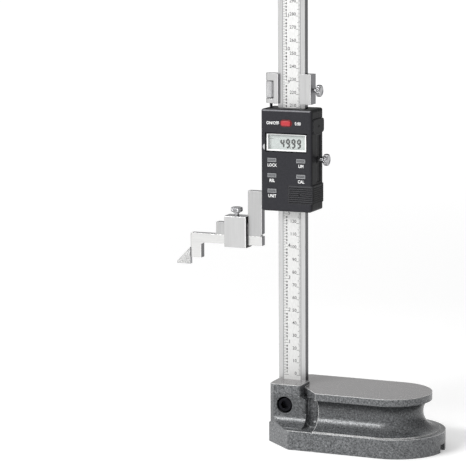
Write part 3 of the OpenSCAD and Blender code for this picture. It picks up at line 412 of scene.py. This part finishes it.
def case_plastic():
    """Charcoal moulded ABS: spark-eroded grain, painted shade that darkens its flank and top, and a
    painted highlight as a paler line along its edges, strongest along the top one, on the slope
    that rounds the front over into the top."""
    material, tree = new_material("charcoal_moulded_abs")
    texture = grain(tree, (0.8, 0.8, 0.8), detail=4.0, roughness=0.6)
    colour = tint(tree, texture, "#29292d", "#333337")
    # Painted shade: the flank and the top are darker
    colour = tint(tree, texture, "#131315", "#1f1f21", colour, facing(tree, "X", 0.8))
    colour = tint(tree, texture, "#0b0b0c", "#161618", colour, facing(tree, "Z", 0.5, 1.0))
    # Painted highlight: a paler line on the slope along the top edge, and a faint one along all
    # edges
    slope, height = own(tree, "Normal", "Z"), own(tree, "Object", "Z")
    top_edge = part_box("housing_front")[1].z - 4 * MM
    top_edge_highlight = merged(tree, "MULTIPLY", add(tree, "Math", slope, 0.12, operation="GREATER_THAN"),
                    add(tree, "Math", slope, 0.62, operation="LESS_THAN"),
                    facing(tree, "Y", 0.5, -1.0),
                    add(tree, "Math", height, top_edge, operation="GREATER_THAN"))
    case_edge_highlight = merged(tree, "MAXIMUM", top_edge_highlight, merged(tree, "MULTIPLY", edges(tree, 0.8), 0.2))
    colour = tint(tree, texture, "#666669", "#86868a", colour, case_edge_highlight)
    return finished(material, Base_Color=colour, Specular_IOR_Level=0.15,
                    Roughness=add(tree, "MapRange", texture, 0.0, 1.0, 0.44, 0.56),
                    Normal=relief(tree, texture, 0.02, 0.6))


def hammered_enamel():
    """Silver-grey enamel sprayed on cast iron: a flaky grain and shallow dimples on the sides,
    drawn about twice as coarse as real so that the picture shows them. Painted shade makes it
    darker in the cove and darkest below the lip. The platform and the top of the block are ground
    bare and smooth, and a painted highlight runs along the edges as pale lines broken into chips."""
    material, tree = new_material("hammered_enamel_on_cast_iron")
    front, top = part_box("base_casting")[0].y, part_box("base_casting")[1].z
    x, y, height = (own(tree, "Object", axis) for axis in "XYZ")
    flake = grain(tree, (1.3, 1.3, 1.3), detail=5.0, roughness=0.8)
    colour = tint(tree, flake, "#242527", "#858789", low=0.36, high=0.64)
    # Painted shade: darker in the waist's cove, darkest where it faces down under the lip
    shade = merged(tree, "MULTIPLY", add(tree, "MapRange", height, *WAIST_STARTS, 0.0, 1.0),
                   add(tree, "MapRange", height, *WAIST_ENDS, 1.0, 0.0),
                   add(tree, "MapRange", own(tree, "Normal", "Z"), -0.75, 0.1, 1.0, 0.35))
    colour = tint(tree, flake, "#161718", "#46484a", colour, shade, 0.36, 0.64)
    ground = merged(tree, "MULTIPLY", facing(tree, "Z", 0.9, 1.0),
                    add(tree, "Math", height, top - GROUND_DOWN, operation="GREATER_THAN"))
    wheel = grain(tree, (14.0, 1.2, 1.2), detail=4.0, roughness=0.6)
    colour = tint(tree, wheel, "#838282", "#918f8f", colour, ground)
    # Painted highlight: the foot's rim but where it runs round the block, the platform's and the
    # block's upper edges, and the crease beside the block
    open_rim = merged(tree, "MAXIMUM",
                      add(tree, "Math", y, front + FRONT_REACH, operation="LESS_THAN"),
                      add(tree, "Math", x, CREASE, operation="GREATER_THAN"))
    foot_rim = add(tree, "Math", height, FOOT_RIM, HIGHLIGHT_REACH, operation="COMPARE")
    places = merged(tree, "MAXIMUM", merged(tree, "MULTIPLY", foot_rim, open_rim),
                    add(tree, "Math", height, top - HIGHLIGHT_DOWN, operation="GREATER_THAN"),
                    add(tree, "Math", x, CREASE, HIGHLIGHT_REACH, operation="COMPARE"))
    cloud = grain(tree, (16.0, 16.0, 9.0), detail=3.0)
    edge_highlight = merged(tree, "MULTIPLY", edges(tree, 0.9, 0.02, 0.12),
                     add(tree, "MapRange", cloud, 0.36, 0.5, 0.7, 1.0), places,
                     add(tree, "MapRange", flake, 0.36, 0.48, 0.75, 1.0))
    colour = tint(tree, flake, "#dededd", "#ffffff", colour, edge_highlight)
    metallic = add(tree, "Math", add(tree, "MapRange", ground, 0.0, 1.0, 0.2, 0.45),
                   merged(tree, "MULTIPLY", edge_highlight, 0.2), operation="SUBTRACT")
    dimples = add(tree, "TexVoronoi", stretched(tree, (1.9, 1.9, 1.9)), Scale=1.0,
                  feature="SMOOTH_F1")
    bumps = add(tree, "Math", flake, merged(tree, "MULTIPLY", dimples, 0.8), operation="ADD")
    bumps = merged(tree, "MULTIPLY", bumps, add(tree, "MapRange", ground, 0.0, 1.0, 1.0, 0.12))
    return finished(material, Base_Color=colour, Metallic=metallic,
                    Roughness=add(tree, "MapRange", flake, 0.0, 1.0, 0.2, 0.32),
                    Normal=relief(tree, bumps, 0.1, 0.6))


def etched_scale():
    """Satin-chromed scale strip: bead-blasted matt, so that the black filled marks read clearly."""
    material, tree = new_material("satin_chrome_scale_strip")
    texture = grain(tree, (0.7, 0.7, 3.0), detail=4.0)
    return finished(material, Base_Color=tint(tree, texture, "#cfcfce", "#e0e0df"), Metallic=0.35,
                    Roughness=add(tree, "MapRange", texture, 0.0, 1.0, 0.48, 0.6))


def lapped_carbide():
    """Sintered carbide, lapped: a grey metal with a sandy sparkle from its grains."""
    material, tree = new_material("lapped_tungsten_carbide")
    sand = grain(tree, (1.1, 1.1, 1.1), detail=5.0, roughness=0.85)
    colour = tint(tree, sand, "#959595", "#dededd", low=0.38, high=0.62)
    colour = tint(tree, sand, "#7c7c7f", "#a4a4a6", colour, edges(tree, 0.7))
    # Painted shade: the sides that face along X are darker
    colour = tint(tree, sand, "#8e8e91", "#b8b8ba", colour, facing(tree, "X"))
    return finished(material, Base_Color=colour, Metallic=0.85,
                    Roughness=add(tree, "MapRange", sand, 0.0, 1.0, 0.32, 0.5),
                    Normal=relief(tree, sand, 0.01, 0.15))


def chrome(name="bright_chrome_plate", dark="#858587", light="#c0c0c2", smooth=0.14, rough=0.3):
    """Bright chrome on turned brass: a near mirror, dull where oil sits in the knurl."""
    material, tree = new_material(name)
    haze = grain(tree, (0.9, 0.9, 0.9), detail=4.0)
    return finished(material, Base_Color=tint(tree, haze, dark, light), Metallic=1.0,
                    Roughness=add(tree, "MapRange", haze, 0.0, 1.0, smooth, rough))


def printed(name, code, rough):
    """Ink or filling of marks: one dull colour that varies a little where it was wiped."""
    material, tree = new_material(name)
    wipe = grain(tree, (1.5, 1.5, 1.5))
    return finished(material, Base_Color=tint(tree, wipe, code, paler(code, 14)), Roughness=rough)


def clear_window():
    """Clear acrylic window: almost invisible, with a soft reflection of the room."""
    material, tree = new_material("clear_acrylic_window")
    smear = grain(tree, (6.0, 6.0, 6.0))
    return finished(material, Base_Color=linear("#f4f6f4"), IOR=1.49, Alpha=0.06,
                    Roughness=add(tree, "MapRange", smear, 0.0, 1.0, 0.03, 0.1))


def display_glass():
    """Reflective liquid crystal cell: grey-green, a little darker towards one side."""
    material, tree = new_material("reflective_liquid_crystal_cell")
    cloud = grain(tree, (18.0, 4.0, 9.0), detail=1.0)
    return finished(material, Base_Color=tint(tree, cloud, "#bbc2c0", "#c7cdcb"), Roughness=0.3)


# The darker sides of the steels and of the battery cover, the steels' darker upper faces and the
# dark lines along the cover's ribs are painted shade; the steels' bright corners are painted
# highlight
FINISHES = {
    "base_casting": hammered_enamel,
    "beam": lambda: steel("satin_chromed_steel", "#b6b6b6", "#cacaca", 2, 0.36, 0.4,
                          sides="#4c4c4e"),
    "scale_plate": etched_scale,
    "beam_clamp_screw": lambda: steel("black_oxide_steel", "#0e0e10", "#26262a", 1, 0.3, 0.4),
    "beam_stop_screw": lambda: steel("zinc_plated_steel", "#85868a", "#a3a4a8", 1, 0.3),
    "slider_frame": lambda: steel("ground_steel", "#acacac", "#bababa", 2, 0.4, 0.3,
                                  sides="#626264", shaded_tops="#8e8e90", highlight_mm=0.9),
    "carriage_frame": lambda: steel("milled_steel", "#b4b4b4", "#c3c3c3", 2, 0.4, 0.3,
                                    sides="#78787b", shaded_tops="#8e8e90", highlight_mm=0.9),
    "scriber_clamp": lambda: steel("surface_ground_steel", "#b9b9b9", "#c2c2c2", 2, 0.42, 0.3,
                                   sides="#1c1c1e", shaded_tops="#9c9c9e", shaded_tops_from=0.4,
                                   streak_mm=1.4, highlight_mm=1.5),
    "slider_back_plate": lambda: steel("rolled_steel_plate", "#a5a5a7", "#bcbcbe", 2, 0.42),
    "scriber_bar": lambda: steel("fine_ground_steel", "#c5c5c4", "#d2d2d1", 0, 0.3, 0.3,
                                 sides="#606062", shaded_tops="#8a8a8c", highlight_mm=0.9),
    "carbide_tip": lapped_carbide,
    "gib_strip": lambda: steel("rolled_brass", "#b08c3f", "#c9a757", 2, 0.34),
    "slider_lock_screw": chrome,
    "housing_front": case_plastic,
    "battery_cover": lambda: moulded("dark_moulded_abs", "#3b3b3e", "#4a4a4d", 0.5, 0.8, 0.04,
                                     specular=0.15, sides="#161618", grooves="#030304"),
    "lcd_window": clear_window,
    "lcd_frame": lambda: moulded("white_polycarbonate", "#f4f6f6", "#fdfefe", 0.4),
    "lcd_glass": display_glass,
    "lcd_connectors": lambda: moulded("zebra_silicone", "#26262a", "#3a3a40", 0.6),
    "main_board": lambda: moulded("green_solder_mask", "#0f4a28", "#1a6336", 0.3, 0.8),
    "battery": lambda: chrome("stainless_cell_can", "#a9a9ab", "#cfcfd1"),
    "port_connector": lambda: moulded("black_nylon", "#141416", "#1e1e20", 0.4),
    "button_hold": lambda: moulded("grey_silicone", "#838487", "#96979a", 0.55),
    "button_power": lambda: moulded("red_silicone", "#6a0d14", "#7c1219", 0.5),
}
SAME_FINISH = {
    "back_plate_screws": "beam_stop_screw", "gib_screws": "beam_stop_screw",
    "housing_screws": "beam_stop_screw", "fine_screw": "beam_stop_screw",
    "carriage_pad": "gib_strip", "battery_contacts": "gib_strip",
    "scriber_clamp_screw": "slider_lock_screw", "carriage_clamp_screw": "slider_lock_screw",
    "fine_nut": "slider_lock_screw", "key_switches": "battery",
    "housing_rear": "housing_front", "port_cover": "battery_cover", "sensor_board": "main_board",
    "button_abs": "button_hold", "button_units": "button_hold", "button_tol": "button_hold",
    "button_set": "button_hold",
}


# Settings that a user would change


class ScrewSettings(bpy.types.PropertyGroup):
    head: bpy.props.FloatProperty(name="Head", description="Diameter of the thumbscrews' heads",
                                  default=9.5 * MM, unit="LENGTH")
    head_length: bpy.props.FloatProperty(name="Head length", default=3.8 * MM, unit="LENGTH",
                                         description="Length of the knurled heads")
    knurl: bpy.props.FloatProperty(name="Knurl depth", description="Depth of the knurl's grooves",
                                   default=0.3 * MM, unit="LENGTH")
    pitch: bpy.props.FloatProperty(name="Pitch", description="Pitch of the fine-adjustment thread",
                                   default=0.5 * MM, unit="LENGTH")


class ScaleSettings(bpy.types.PropertyGroup):
    zero: bpy.props.FloatProperty(name="Zero height", default=50.5 * MM, unit="LENGTH",
                                  description="Height of both zero marks above the table")
    length: bpy.props.FloatProperty(name="Length", description="Length of the graduation",
                                    default=300 * MM, unit="LENGTH")
    line: bpy.props.FloatProperty(name="Line width", description="Width of the engraved lines",
                                  default=0.3 * MM, unit="LENGTH")
    colour: bpy.props.StringProperty(name="Fill", description="Colour of the filling, as sRGB hex",
                                     default="#2a2a2c")


class DisplaySettings(bpy.types.PropertyGroup):
    reading: bpy.props.StringProperty(name="Reading", description="Figures on the display",
                                      default="49.99")
    height: bpy.props.FloatProperty(name="Digit height", description="Height of the digits",
                                    default=7.45 * MM, unit="LENGTH")
    colour: bpy.props.StringProperty(name="Segments", default="#060908",
                                     description="Colour of the segments, as sRGB hex")


class KeySettings(bpy.types.PropertyGroup):
    grey: bpy.props.StringProperty(name="Grey pads", description="Colour of the grey keys' middles",
                                   default="#5e5f62")
    red: bpy.props.StringProperty(name="Red pad", description="Colour of the power key's middle",
                                  default="#ac242c")


class LegendSettings(bpy.types.PropertyGroup):
    height: bpy.props.FloatProperty(name="Letter height", description="Height of the capitals",
                                    default=2.4 * MM, unit="LENGTH")
    colour: bpy.props.StringProperty(name="Ink", description="Colour of the legends, as sRGB hex",
                                     default="#f6f6f6")


class StageSettings(bpy.types.PropertyGroup):
    floor: bpy.props.StringProperty(name="Floor", description="Colour of the floor, as sRGB hex",
                                    default="#f2f2f2")
    key: bpy.props.FloatProperty(name="Key light", description="Strength of the large front lamp",
                                 default=7.4, min=0.0)
    strip: bpy.props.FloatProperty(name="Strip light", default=12.6, min=0.0,
                                   description="Strength of the narrow front lamp")


SETTINGS = {"screws": ScrewSettings, "scale_marks": ScaleSettings, "display": DisplaySettings,
            "keys": KeySettings, "legends": LegendSettings, "stage": StageSettings}


# Operators


class GAUGE_OT_finishes(bpy.types.Operator):
    """Gives every CAD node the finish of its real material"""
    bl_idname = "gauge.finishes"
    bl_label = "Finishes"

    def execute(self, context):
        made = {node: make() for node, make in FINISHES.items()}
        for node, piece in NODES.items():
            material = made[SAME_FINISH.get(node, node)]
            if piece.data.materials:
                for i in range(len(piece.data.materials)):
                    piece.data.materials[i] = material
            else:
                piece.data.materials.append(material)
        return {"FINISHED"}


class GAUGE_OT_screws(bpy.types.Operator):
    """Makes the diamond-knurled thumbscrews, the straight-knurled nut and the fine thread"""
    bl_idname = "gauge.screws"
    bl_label = "Screws"

    def execute(self, context):
        settings = context.scene.gauge_screws
        rim, length, depth = settings.head / 2, settings.head_length, settings.knurl
        bright = NODES["slider_lock_screw"].data.materials[0]
        bevel = [(rim - inwards * MM, up * MM) for inwards, up in HEAD_BEVEL_MM]
        for node, body, shank, collar, collar_length in THUMBSCREWS:
            low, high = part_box(node)
            upright = node == "scriber_clamp_screw"
            seat = (high.z - low.z if upright else high.x - low.x) - length
            neck, top, dish, chamfer = seat - collar_length, seat + length, 0.3 * MM, 0.6 * MM
            profile = [(0, 0), (shank - chamfer, 0), (shank, chamfer), (shank, neck),
                       (collar, neck), (collar, seat), *((r, seat + up) for r, up in bevel),
                       *((r, top - up) for r, up in reversed(bevel)),
                       (rim - 1.9 * MM, top), (rim - 2.3 * MM, top - dish), (0, top - dish)]

            def diamonds(angle, height, radius, seat=seat):
                """Two crossing families of grooves that fade out on the bevels."""
                turns = KNURL_TEETH * angle / (2 * np.pi)
                slope = (height - seat) / KNURL_PITCH
                groove = np.maximum(triangle_wave(turns + slope), triangle_wave(turns - slope))
                on_rim = np.clip((radius - rim + 1.0 * MM) / (0.8 * MM), 0, 1)
                return depth * groove * on_rim * (height >= seat)

            points, faces = turned(denser(profile, 0.28 * MM), KNURL_TEETH * 8, diamonds)
            if upright:
                points += foot_of(node)
            else:
                points = points[:, [2, 0, 1]] + (low.x, (low.y + high.y) / 2, (low.z + high.z) / 2)
            piece = surface(node + "_knurled", points, faces, bright, body,
                            smooth=False)
            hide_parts(node)

        low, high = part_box("fine_nut")
        nut, tall = (high.x - low.x) / 2, high.z - low.z
        loop = denser([(NUT_BORE, 0), (nut - NUT_BEVEL, 0), (nut, NUT_BEVEL),
                       (nut, tall - NUT_BEVEL), (nut - NUT_BEVEL, tall), (NUT_BORE, tall)],
                      0.9 * MM)

        def grooves(angle, height, radius):
            """Straight grooves that fade out on the bevels."""
            on_rim = np.clip((radius - nut + NUT_BEVEL) / NUT_BEVEL, 0, 1)
            return NUT_GROOVE_DEPTH * triangle_wave(NUT_GROOVES * angle / (2 * np.pi)) * on_rim

        points, faces = turned(loop, NUT_GROOVES * 6, grooves, ring=True)
        points += foot_of("fine_nut")
        satin = chrome("satin_nickel_plate", "#b0b0b1", "#d4d4d5", 0.3, 0.4)
        piece = surface("fine_nut_knurled", points, faces, satin, "nut",
                        smooth=False)
        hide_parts("fine_nut")

        low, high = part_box("fine_screw")
        rod, tall = (high.x - low.x) / 2, high.z - low.z
        heights = np.arange(0.3 * MM, tall - 0.3 * MM, settings.pitch / 6)
        threaded = np.stack([np.full_like(heights, rod), heights], -1)
        profile = np.concatenate([[(0, 0), (rod - THREAD_DEPTH, 0)], threaded,
                                  [(rod - THREAD_DEPTH, tall), (0, tall)]])

        def helix(angle, height, radius):
            """A vee groove that climbs one pitch per turn."""
            groove = triangle_wave(height / settings.pitch - angle / (2 * np.pi))
            return THREAD_DEPTH * groove * (radius > rod - 0.01 * MM)

        points, faces = turned(profile, 24, helix)
        points += foot_of("fine_screw")
        thread = steel("oiled_thread_steel", "#38383a", "#5a5a5c", 2, 0.3)
        piece = surface("fine_screw_thread", points, faces, thread, "slider")
        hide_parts("fine_screw")
        return {"FINISHED"}


class GAUGE_OT_scale_marks(bpy.types.Operator):
    """Engraves millimetre and inch graduations with their figures on the scale strip"""
    bl_idname = "gauge.scale_marks"
    bl_label = "Scale marks"

    def execute(self, context):
        settings = context.scene.gauge_scale_marks
        ink = printed("black_scale_filling", settings.colour, 0.6)
        low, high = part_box("scale_plate")
        left, right, zero, half = low.x, high.x, settings.zero, settings.line / 2
        front = low.y - 0.01 * MM
        # Millimetres along the right edge: long tens, middling fives
        steps = np.arange(0, round(settings.length / MM) + 1)
        length = np.where(steps % 10 == 0, 3.3, np.where(steps % 5 == 0, 2.2, 1.3)) * MM
        height = zero + steps * MM
        end = right - 0.3 * MM
        marks = [bar_outlines(end - length, end, height - half, height + half)]
        # Twentieths of an inch along the left edge, a little finer: long inches, middling tenths
        steps = np.arange(0, int(settings.length / INCH * 20) + 1)
        length = np.where(steps % 20 == 0, 4.0, np.where(steps % 2 == 0, 2.4, 1.4)) * MM
        height = zero + steps * INCH / 20
        end, half = left + 0.4 * MM, 0.8 * half
        marks.append(bar_outlines(end, end + length, height - half, height + half))
        plates("scale_marks", np.concatenate(marks), 0.03 * MM, low.y - 0.015 * MM, ink, "stand")

        # Painted shadow: a grey line in the seam on each side where the strip is let into the beam
        seam_shadows = bar_outlines([left - 0.2 * MM, right - 0.15 * MM],
                             [left + 0.25 * MM, right + 0.3 * MM], zero - 3.5 * MM, high.z)
        plates("scale_seam_shadows", seam_shadows, 0.03 * MM, low.y - 0.016 * MM,
               printed("painted_seam_shadow", "#747476", 0.5), "stand")

        words, tenths = [], []
        for value in range(0, round(settings.length / MM) + 1, 10):
            words.append((str(value), right - 3.5 * MM, front, zero + (value + 0.35) * MM,
                          2.5 * MM, "RIGHT"))
        for tenth in range(1, int(settings.length / INCH * 10) + 1):
            height = zero + tenth * INCH / 10
            if tenth % 10 == 0:
                words.append((str(tenth // 10), left + 6.1 * MM, front, height - 0.3 * MM,
                              2.8 * MM, "RIGHT"))
            else:
                tenths.append((str(tenth % 10), left + 2.5 * MM, front, height - 0.75 * MM,
                               1.5 * MM, "LEFT"))
        lettering("scale_figures", words, 0.012, 1.0, ink, "stand")
        lettering("scale_tenths", tenths, 0.09, 1.0, ink, "stand")
        return {"FINISHED"}


class GAUGE_OT_display(bpy.types.Operator):
    """Puts the figures of the reading on the display as seven-segment digits"""
    bl_idname = "gauge.display"
    bl_label = "Display"

    def execute(self, context):
        settings = context.scene.gauge_display
        low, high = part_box("lcd_glass")
        # A digit's height, width and stroke, the gap at a segment's ends, and the digits' lean
        h = settings.height
        w, t, gap, lean = 0.48 * h, 0.19 * h, 0.004 * h, 0.05
        outlines = []
        # The reading ends short of the glass's right edge and sits a little below its middle
        x = high.x - 6.0 * MM
        base = (low.z + high.z) / 2 - h / 2 - 1.17 * MM
        for figure in reversed(settings.reading):
            if figure == ".":
                dot = bar_outlines([x], [x + 0.5 * t], [base], [base + 0.5 * t])[0]
                outlines.append(dot[[0, 0, 1, 2, 2, 3]])
                continue
            x -= w
            for name in SEGMENTS[figure]:
                ends = np.reshape(SEGMENT_ENDS[name], (2, 2))
                a, b = (x + t / 2, base + t / 2) + ends * (w - t, (h - t) / 2)
                along = (b - a) / np.linalg.norm(b - a)
                across = np.array([-along[1], along[0]]) * t / 2
                a, b = a + along * gap, b - along * gap
                tip = along * t * 0.3
                outlines.append(np.array([a, a + tip - across, b - tip - across, b,
                                          b - tip + across, a + tip + across]))
            x -= 0.27 * w
        outlines = np.array(outlines)
        outlines[:, :, 0] += lean * (outlines[:, :, 1] - base)
        ink = printed("liquid_crystal_segments", settings.colour, 0.4)
        plates("display_digits", outlines, INK, low.y - 0.03 * MM, ink, "slider")
        # A mark that isn't lit shows faintly at the glass's upper left
        flag = bar_outlines([low.x + 2.6 * MM], [low.x + 5.6 * MM],
                            [high.z - 5.4 * MM], [high.z - 4.7 * MM])
        plates("display_flag", flag, INK, low.y - 0.03 * MM,
               printed("liquid_crystal_faint_mark", "#8f9692", 0.4), "slider")

        # The window is printed white along its edge: two upright bars, a lower and an upper one
        low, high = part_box("lcd_connectors")
        left, right = low.x + 0.1 * MM, high.x - 0.1 * MM
        bottom, top, rim = low.z + 0.1 * MM, high.z - 0.5 * MM, 1.1 * MM
        bars = bar_outlines([left, right - rim, left + rim, left + rim],
                            [left + rim, right, right - rim, right - rim],
                            [bottom, bottom, bottom, top - 0.6 * rim],
                            [top, top, bottom + rim, top])
        plates("display_border", bars, INK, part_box("lcd_window")[0].y - 0.03 * MM,
               printed("white_window_print", "#f7f8f8", 0.4), "slider")

        # Painted shadow: a black frame of four bars round the window's opening, sunk to the case's
        # face
        wide = 0.75 * MM
        bars = bar_outlines([low.x - wide, high.x, low.x - wide, low.x - wide],
                            [low.x, high.x + wide, high.x + wide, high.x + wide],
                            [low.z, low.z, low.z - wide, high.z - 0.5 * MM],
                            [high.z, high.z, low.z, high.z + 0.5 * wide])
        shadow_sheet = moulded("painted_window_shadow", "#070708", "#121214", 0.8, specular=0.1)
        plates("window_shadow_frame", bars, 0.2 * MM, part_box("housing_front")[0].y - 0.03 * MM, shadow_sheet,
               "slider")
        return {"FINISHED"}


class GAUGE_OT_keys(bpy.types.Operator):
    """Adds the domed middles of the rubber keys"""
    bl_idname = "gauge.keys"
    bl_label = "Keys"

    def execute(self, context):
        settings = context.scene.gauge_keys
        grey = moulded("grey_silicone_pad", settings.grey, paler(settings.grey, 14), 0.6)
        red = moulded("red_silicone_pad", settings.red, paler(settings.red, 14), 0.4)
        for key in ("power", "hold", "abs", "units", "tol", "set"):
            low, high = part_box("button_" + key)
            centre = ((low.x + high.x) / 2, low.y - 0.01 * MM, (low.z + high.z) / 2)
            points, faces = cushion(centre, *(POWER_PAD if key == "power" else GREY_PAD))
            surface("pad_" + key, points, faces, red if key == "power" else grey, key + "_key")
        return {"FINISHED"}


class GAUGE_OT_legends(bpy.types.Operator):
    """Prints the legends beside and under the buttons, and the index mark beside the display"""
    bl_idname = "gauge.legends"
    bl_label = "Legends"

    def execute(self, context):
        settings = context.scene.gauge_legends
        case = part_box("housing_front")[0]
        front = case.y - 0.012 * MM
        h = settings.height
        low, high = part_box("button_power")
        middle = (low.z + high.z) / 2 - h / 2
        words = [("ON/OFF", low.x - 0.1 * MM, front, middle, h, "RIGHT"),
                 ("0.00", high.x + 1.5 * MM, front, middle, h, "LEFT")]
        for button, text in (("hold", "LOCK"), ("abs", "REL"), ("units", "UNIT"),
                             ("tol", "LIM"), ("set", "CAL")):
            low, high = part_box("button_" + button)
            words.append((text, (low.x + high.x) / 2, front, low.z - 0.55 * MM - h, h, "CENTER"))
        ink = printed("white_pad_printing_ink", settings.colour, 0.5)
        lettering("button_legends", words, 0.02, 0.84, ink, "slider")

        # Half-round index mark: x = -a cos t, z = b sin t, with its flat side to the right
        turn = np.linspace(-np.pi / 2, np.pi / 2, 24)
        low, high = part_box("lcd_glass")
        x = case.x + 3.3 * MM - 1.6 * MM * np.cos(turn)
        z = (low.z + high.z) / 2 - 3.9 * MM + 2.1 * MM * np.sin(turn)
        plates("index_mark", [np.stack([x, z], -1)[::-1]], INK, front,
               printed("pale_grey_ink", "#b2b2b4", 0.5), "slider")
        return {"FINISHED"}


class GAUGE_OT_stage(bpy.types.Operator):
    """Sets the pale floor, the soft lights and the camera at the photograph's angle"""
    bl_idname = "gauge.stage"
    bl_label = "Stage"

    def execute(self, context):
        settings = context.scene.gauge_stage
        scene = context.scene
        scene.view_settings.view_transform = "Standard"
        self.floor(scene, settings.floor)
        self.world(scene)
        lamp(scene, "front_softbox", (1.6, 1.2), settings.key, (-1.1, -1.7, 1.9), (0, 0, 0.2))
        lamp(scene, "front_strip", (0.8, 0.27), settings.strip, (-0.6, -1.0, 1.0),
             (0.05, 0, 0.03))
        lens = bpy.data.cameras.new("photo_camera")
        lens.sensor_fit = "HORIZONTAL"
        lens.sensor_width = 36.0
        lens.lens = lens.sensor_width * PHOTO_FOCAL_PX / PHOTO_SIDE_PX
        lens.clip_end = 100.0
        (yaw_x, yaw_y), (level, lean), (upright, roll) = (
            (math.cos(angle), math.sin(angle)) for angle in (PHOTO_YAW, PHOTO_PITCH, PHOTO_ROLL))
        right = np.array([yaw_x, yaw_y, 0])
        up = np.array([-yaw_y * lean, yaw_x * lean, level])
        scene.camera = put(scene, "photo_camera", lens, upright * right + roll * up,
                           upright * up - roll * right, np.cross(right, up), PHOTO_PLACE)
        return {"FINISHED"}

    def floor(self, scene, colour):
        """A wide matt floor. What sees it straight or in metal and glass sees it topped up to
        white, more so far from the lamps, as a studio's seamless paper is; its shadow stays."""
        angle = round_angles(96)
        radius = np.array([0.0, 0.4, 4.0, 40.0])
        points = np.stack([np.outer(radius, np.cos(angle)), np.outer(radius, np.sin(angle)),
                           np.full((len(radius), len(angle)), -0.02 * MM)], -1).reshape(-1, 3)
        mesh = bpy.data.meshes.new("studio_floor")
        faces = grid_faces(len(radius), len(angle), wrap_columns=True)[:, ::-1]
        mesh.from_pydata(points.tolist(), [], faces.tolist())
        floor = bpy.data.objects.new("studio_floor", mesh)
        scene.collection.objects.link(floor)
        material, tree = new_material("matt_painted_floor")
        speck = grain(tree, (3.0, 3.0, 3.0))
        away = add(tree, "VectorMath", add(tree, "TexCoord", out="Object"), out="Value",
                   operation="LENGTH")
        rays = ("Is Camera Ray", "Is Glossy Ray", "Is Transmission Ray")
        seen = merged(tree, "MAXIMUM", *(add(tree, "LightPath", out=ray) for ray in rays))
        top_up = merged(tree, "MULTIPLY", seen, add(tree, "MapRange", away, 0.6, 2.2, 0.24, 0.5))
        mesh.materials.append(finished(
            material, Base_Color=tint(tree, speck, colour, paler(colour, 3)), Roughness=0.85,
            Specular_IOR_Level=0.1, Emission_Color=(1, 1, 1, 1), Emission_Strength=top_up))

    def world(self, scene):
        """A bright room, dimmer towards the back on the right by a smooth function of direction."""
        scene.world = bpy.data.worlds.new("soft_studio")
        scene.world.use_nodes = True
        tree = scene.world.node_tree
        tree.nodes.clear()
        side = add(tree, "VectorMath", add(tree, "TexCoord", out="Generated"), (0.72, 0.66, -0.1),
                   out="Value", operation="DOT_PRODUCT")
        light = add(tree, "MapRange", side, 0.9, 0.3, 0.16, 0.68)
        add(tree, "OutputWorld", add(tree, "Background", (1, 1, 1, 1), light))


def put(scene, name, data, right, up, back, place):
    """A camera or lamp with its axes along right, up and back."""
    thing = bpy.data.objects.new(name, data)
    scene.collection.objects.link(thing)
    matrix = np.eye(4)
    matrix[:3] = np.stack([right, up, back, place], 1)
    thing.matrix_world = Matrix(matrix.tolist())
    return thing


def lamp(scene, name, size, strength, place, aim):
    """A rectangular soft lamp at place, its long side level, that points at aim."""
    light = bpy.data.lights.new(name, "AREA")
    light.shape = "RECTANGLE"
    light.size, light.size_y = size
    light.energy = strength
    back = np.subtract(place, aim)
    back /= np.linalg.norm(back)
    right = np.cross([0, 0, 1], back)
    right /= np.linalg.norm(right)
    put(scene, name, light, right, np.cross(back, right), back, place)


OPERATORS = (GAUGE_OT_finishes, GAUGE_OT_screws, GAUGE_OT_scale_marks, GAUGE_OT_display,
             GAUGE_OT_keys, GAUGE_OT_legends, GAUGE_OT_stage)


class GAUGE_PT_panel(bpy.types.Panel):
    """Lists the pieces and their settings"""
    bl_idname = "GAUGE_PT_panel"
    bl_label = "Height gauge"
    bl_space_type = "VIEW_3D"
    bl_region_type = "UI"
    bl_category = "Height gauge"

    def draw(self, context):
        for operator in OPERATORS:
            self.layout.operator(operator.bl_idname)
            name = operator.bl_idname.split(".")[1]
            if name in SETTINGS:
                for key in SETTINGS[name].__annotations__:
                    self.layout.prop(getattr(context.scene, "gauge_" + name), key)


def register():
    for item in (*SETTINGS.values(), *OPERATORS, GAUGE_PT_panel):
        bpy.utils.register_class(item)
    for name, group in SETTINGS.items():
        setattr(bpy.types.Scene, "gauge_" + name, bpy.props.PointerProperty(type=group))


def unregister():
    for name in SETTINGS:
        delattr(bpy.types.Scene, "gauge_" + name)
    for item in reversed((*SETTINGS.values(), *OPERATORS, GAUGE_PT_panel)):
        bpy.utils.unregister_class(item)


def main():
    register()
    for operator in OPERATORS:
        group, name = operator.bl_idname.split(".")
        getattr(getattr(bpy.ops, group), name)()


if __name__ == "__main__":
    main()
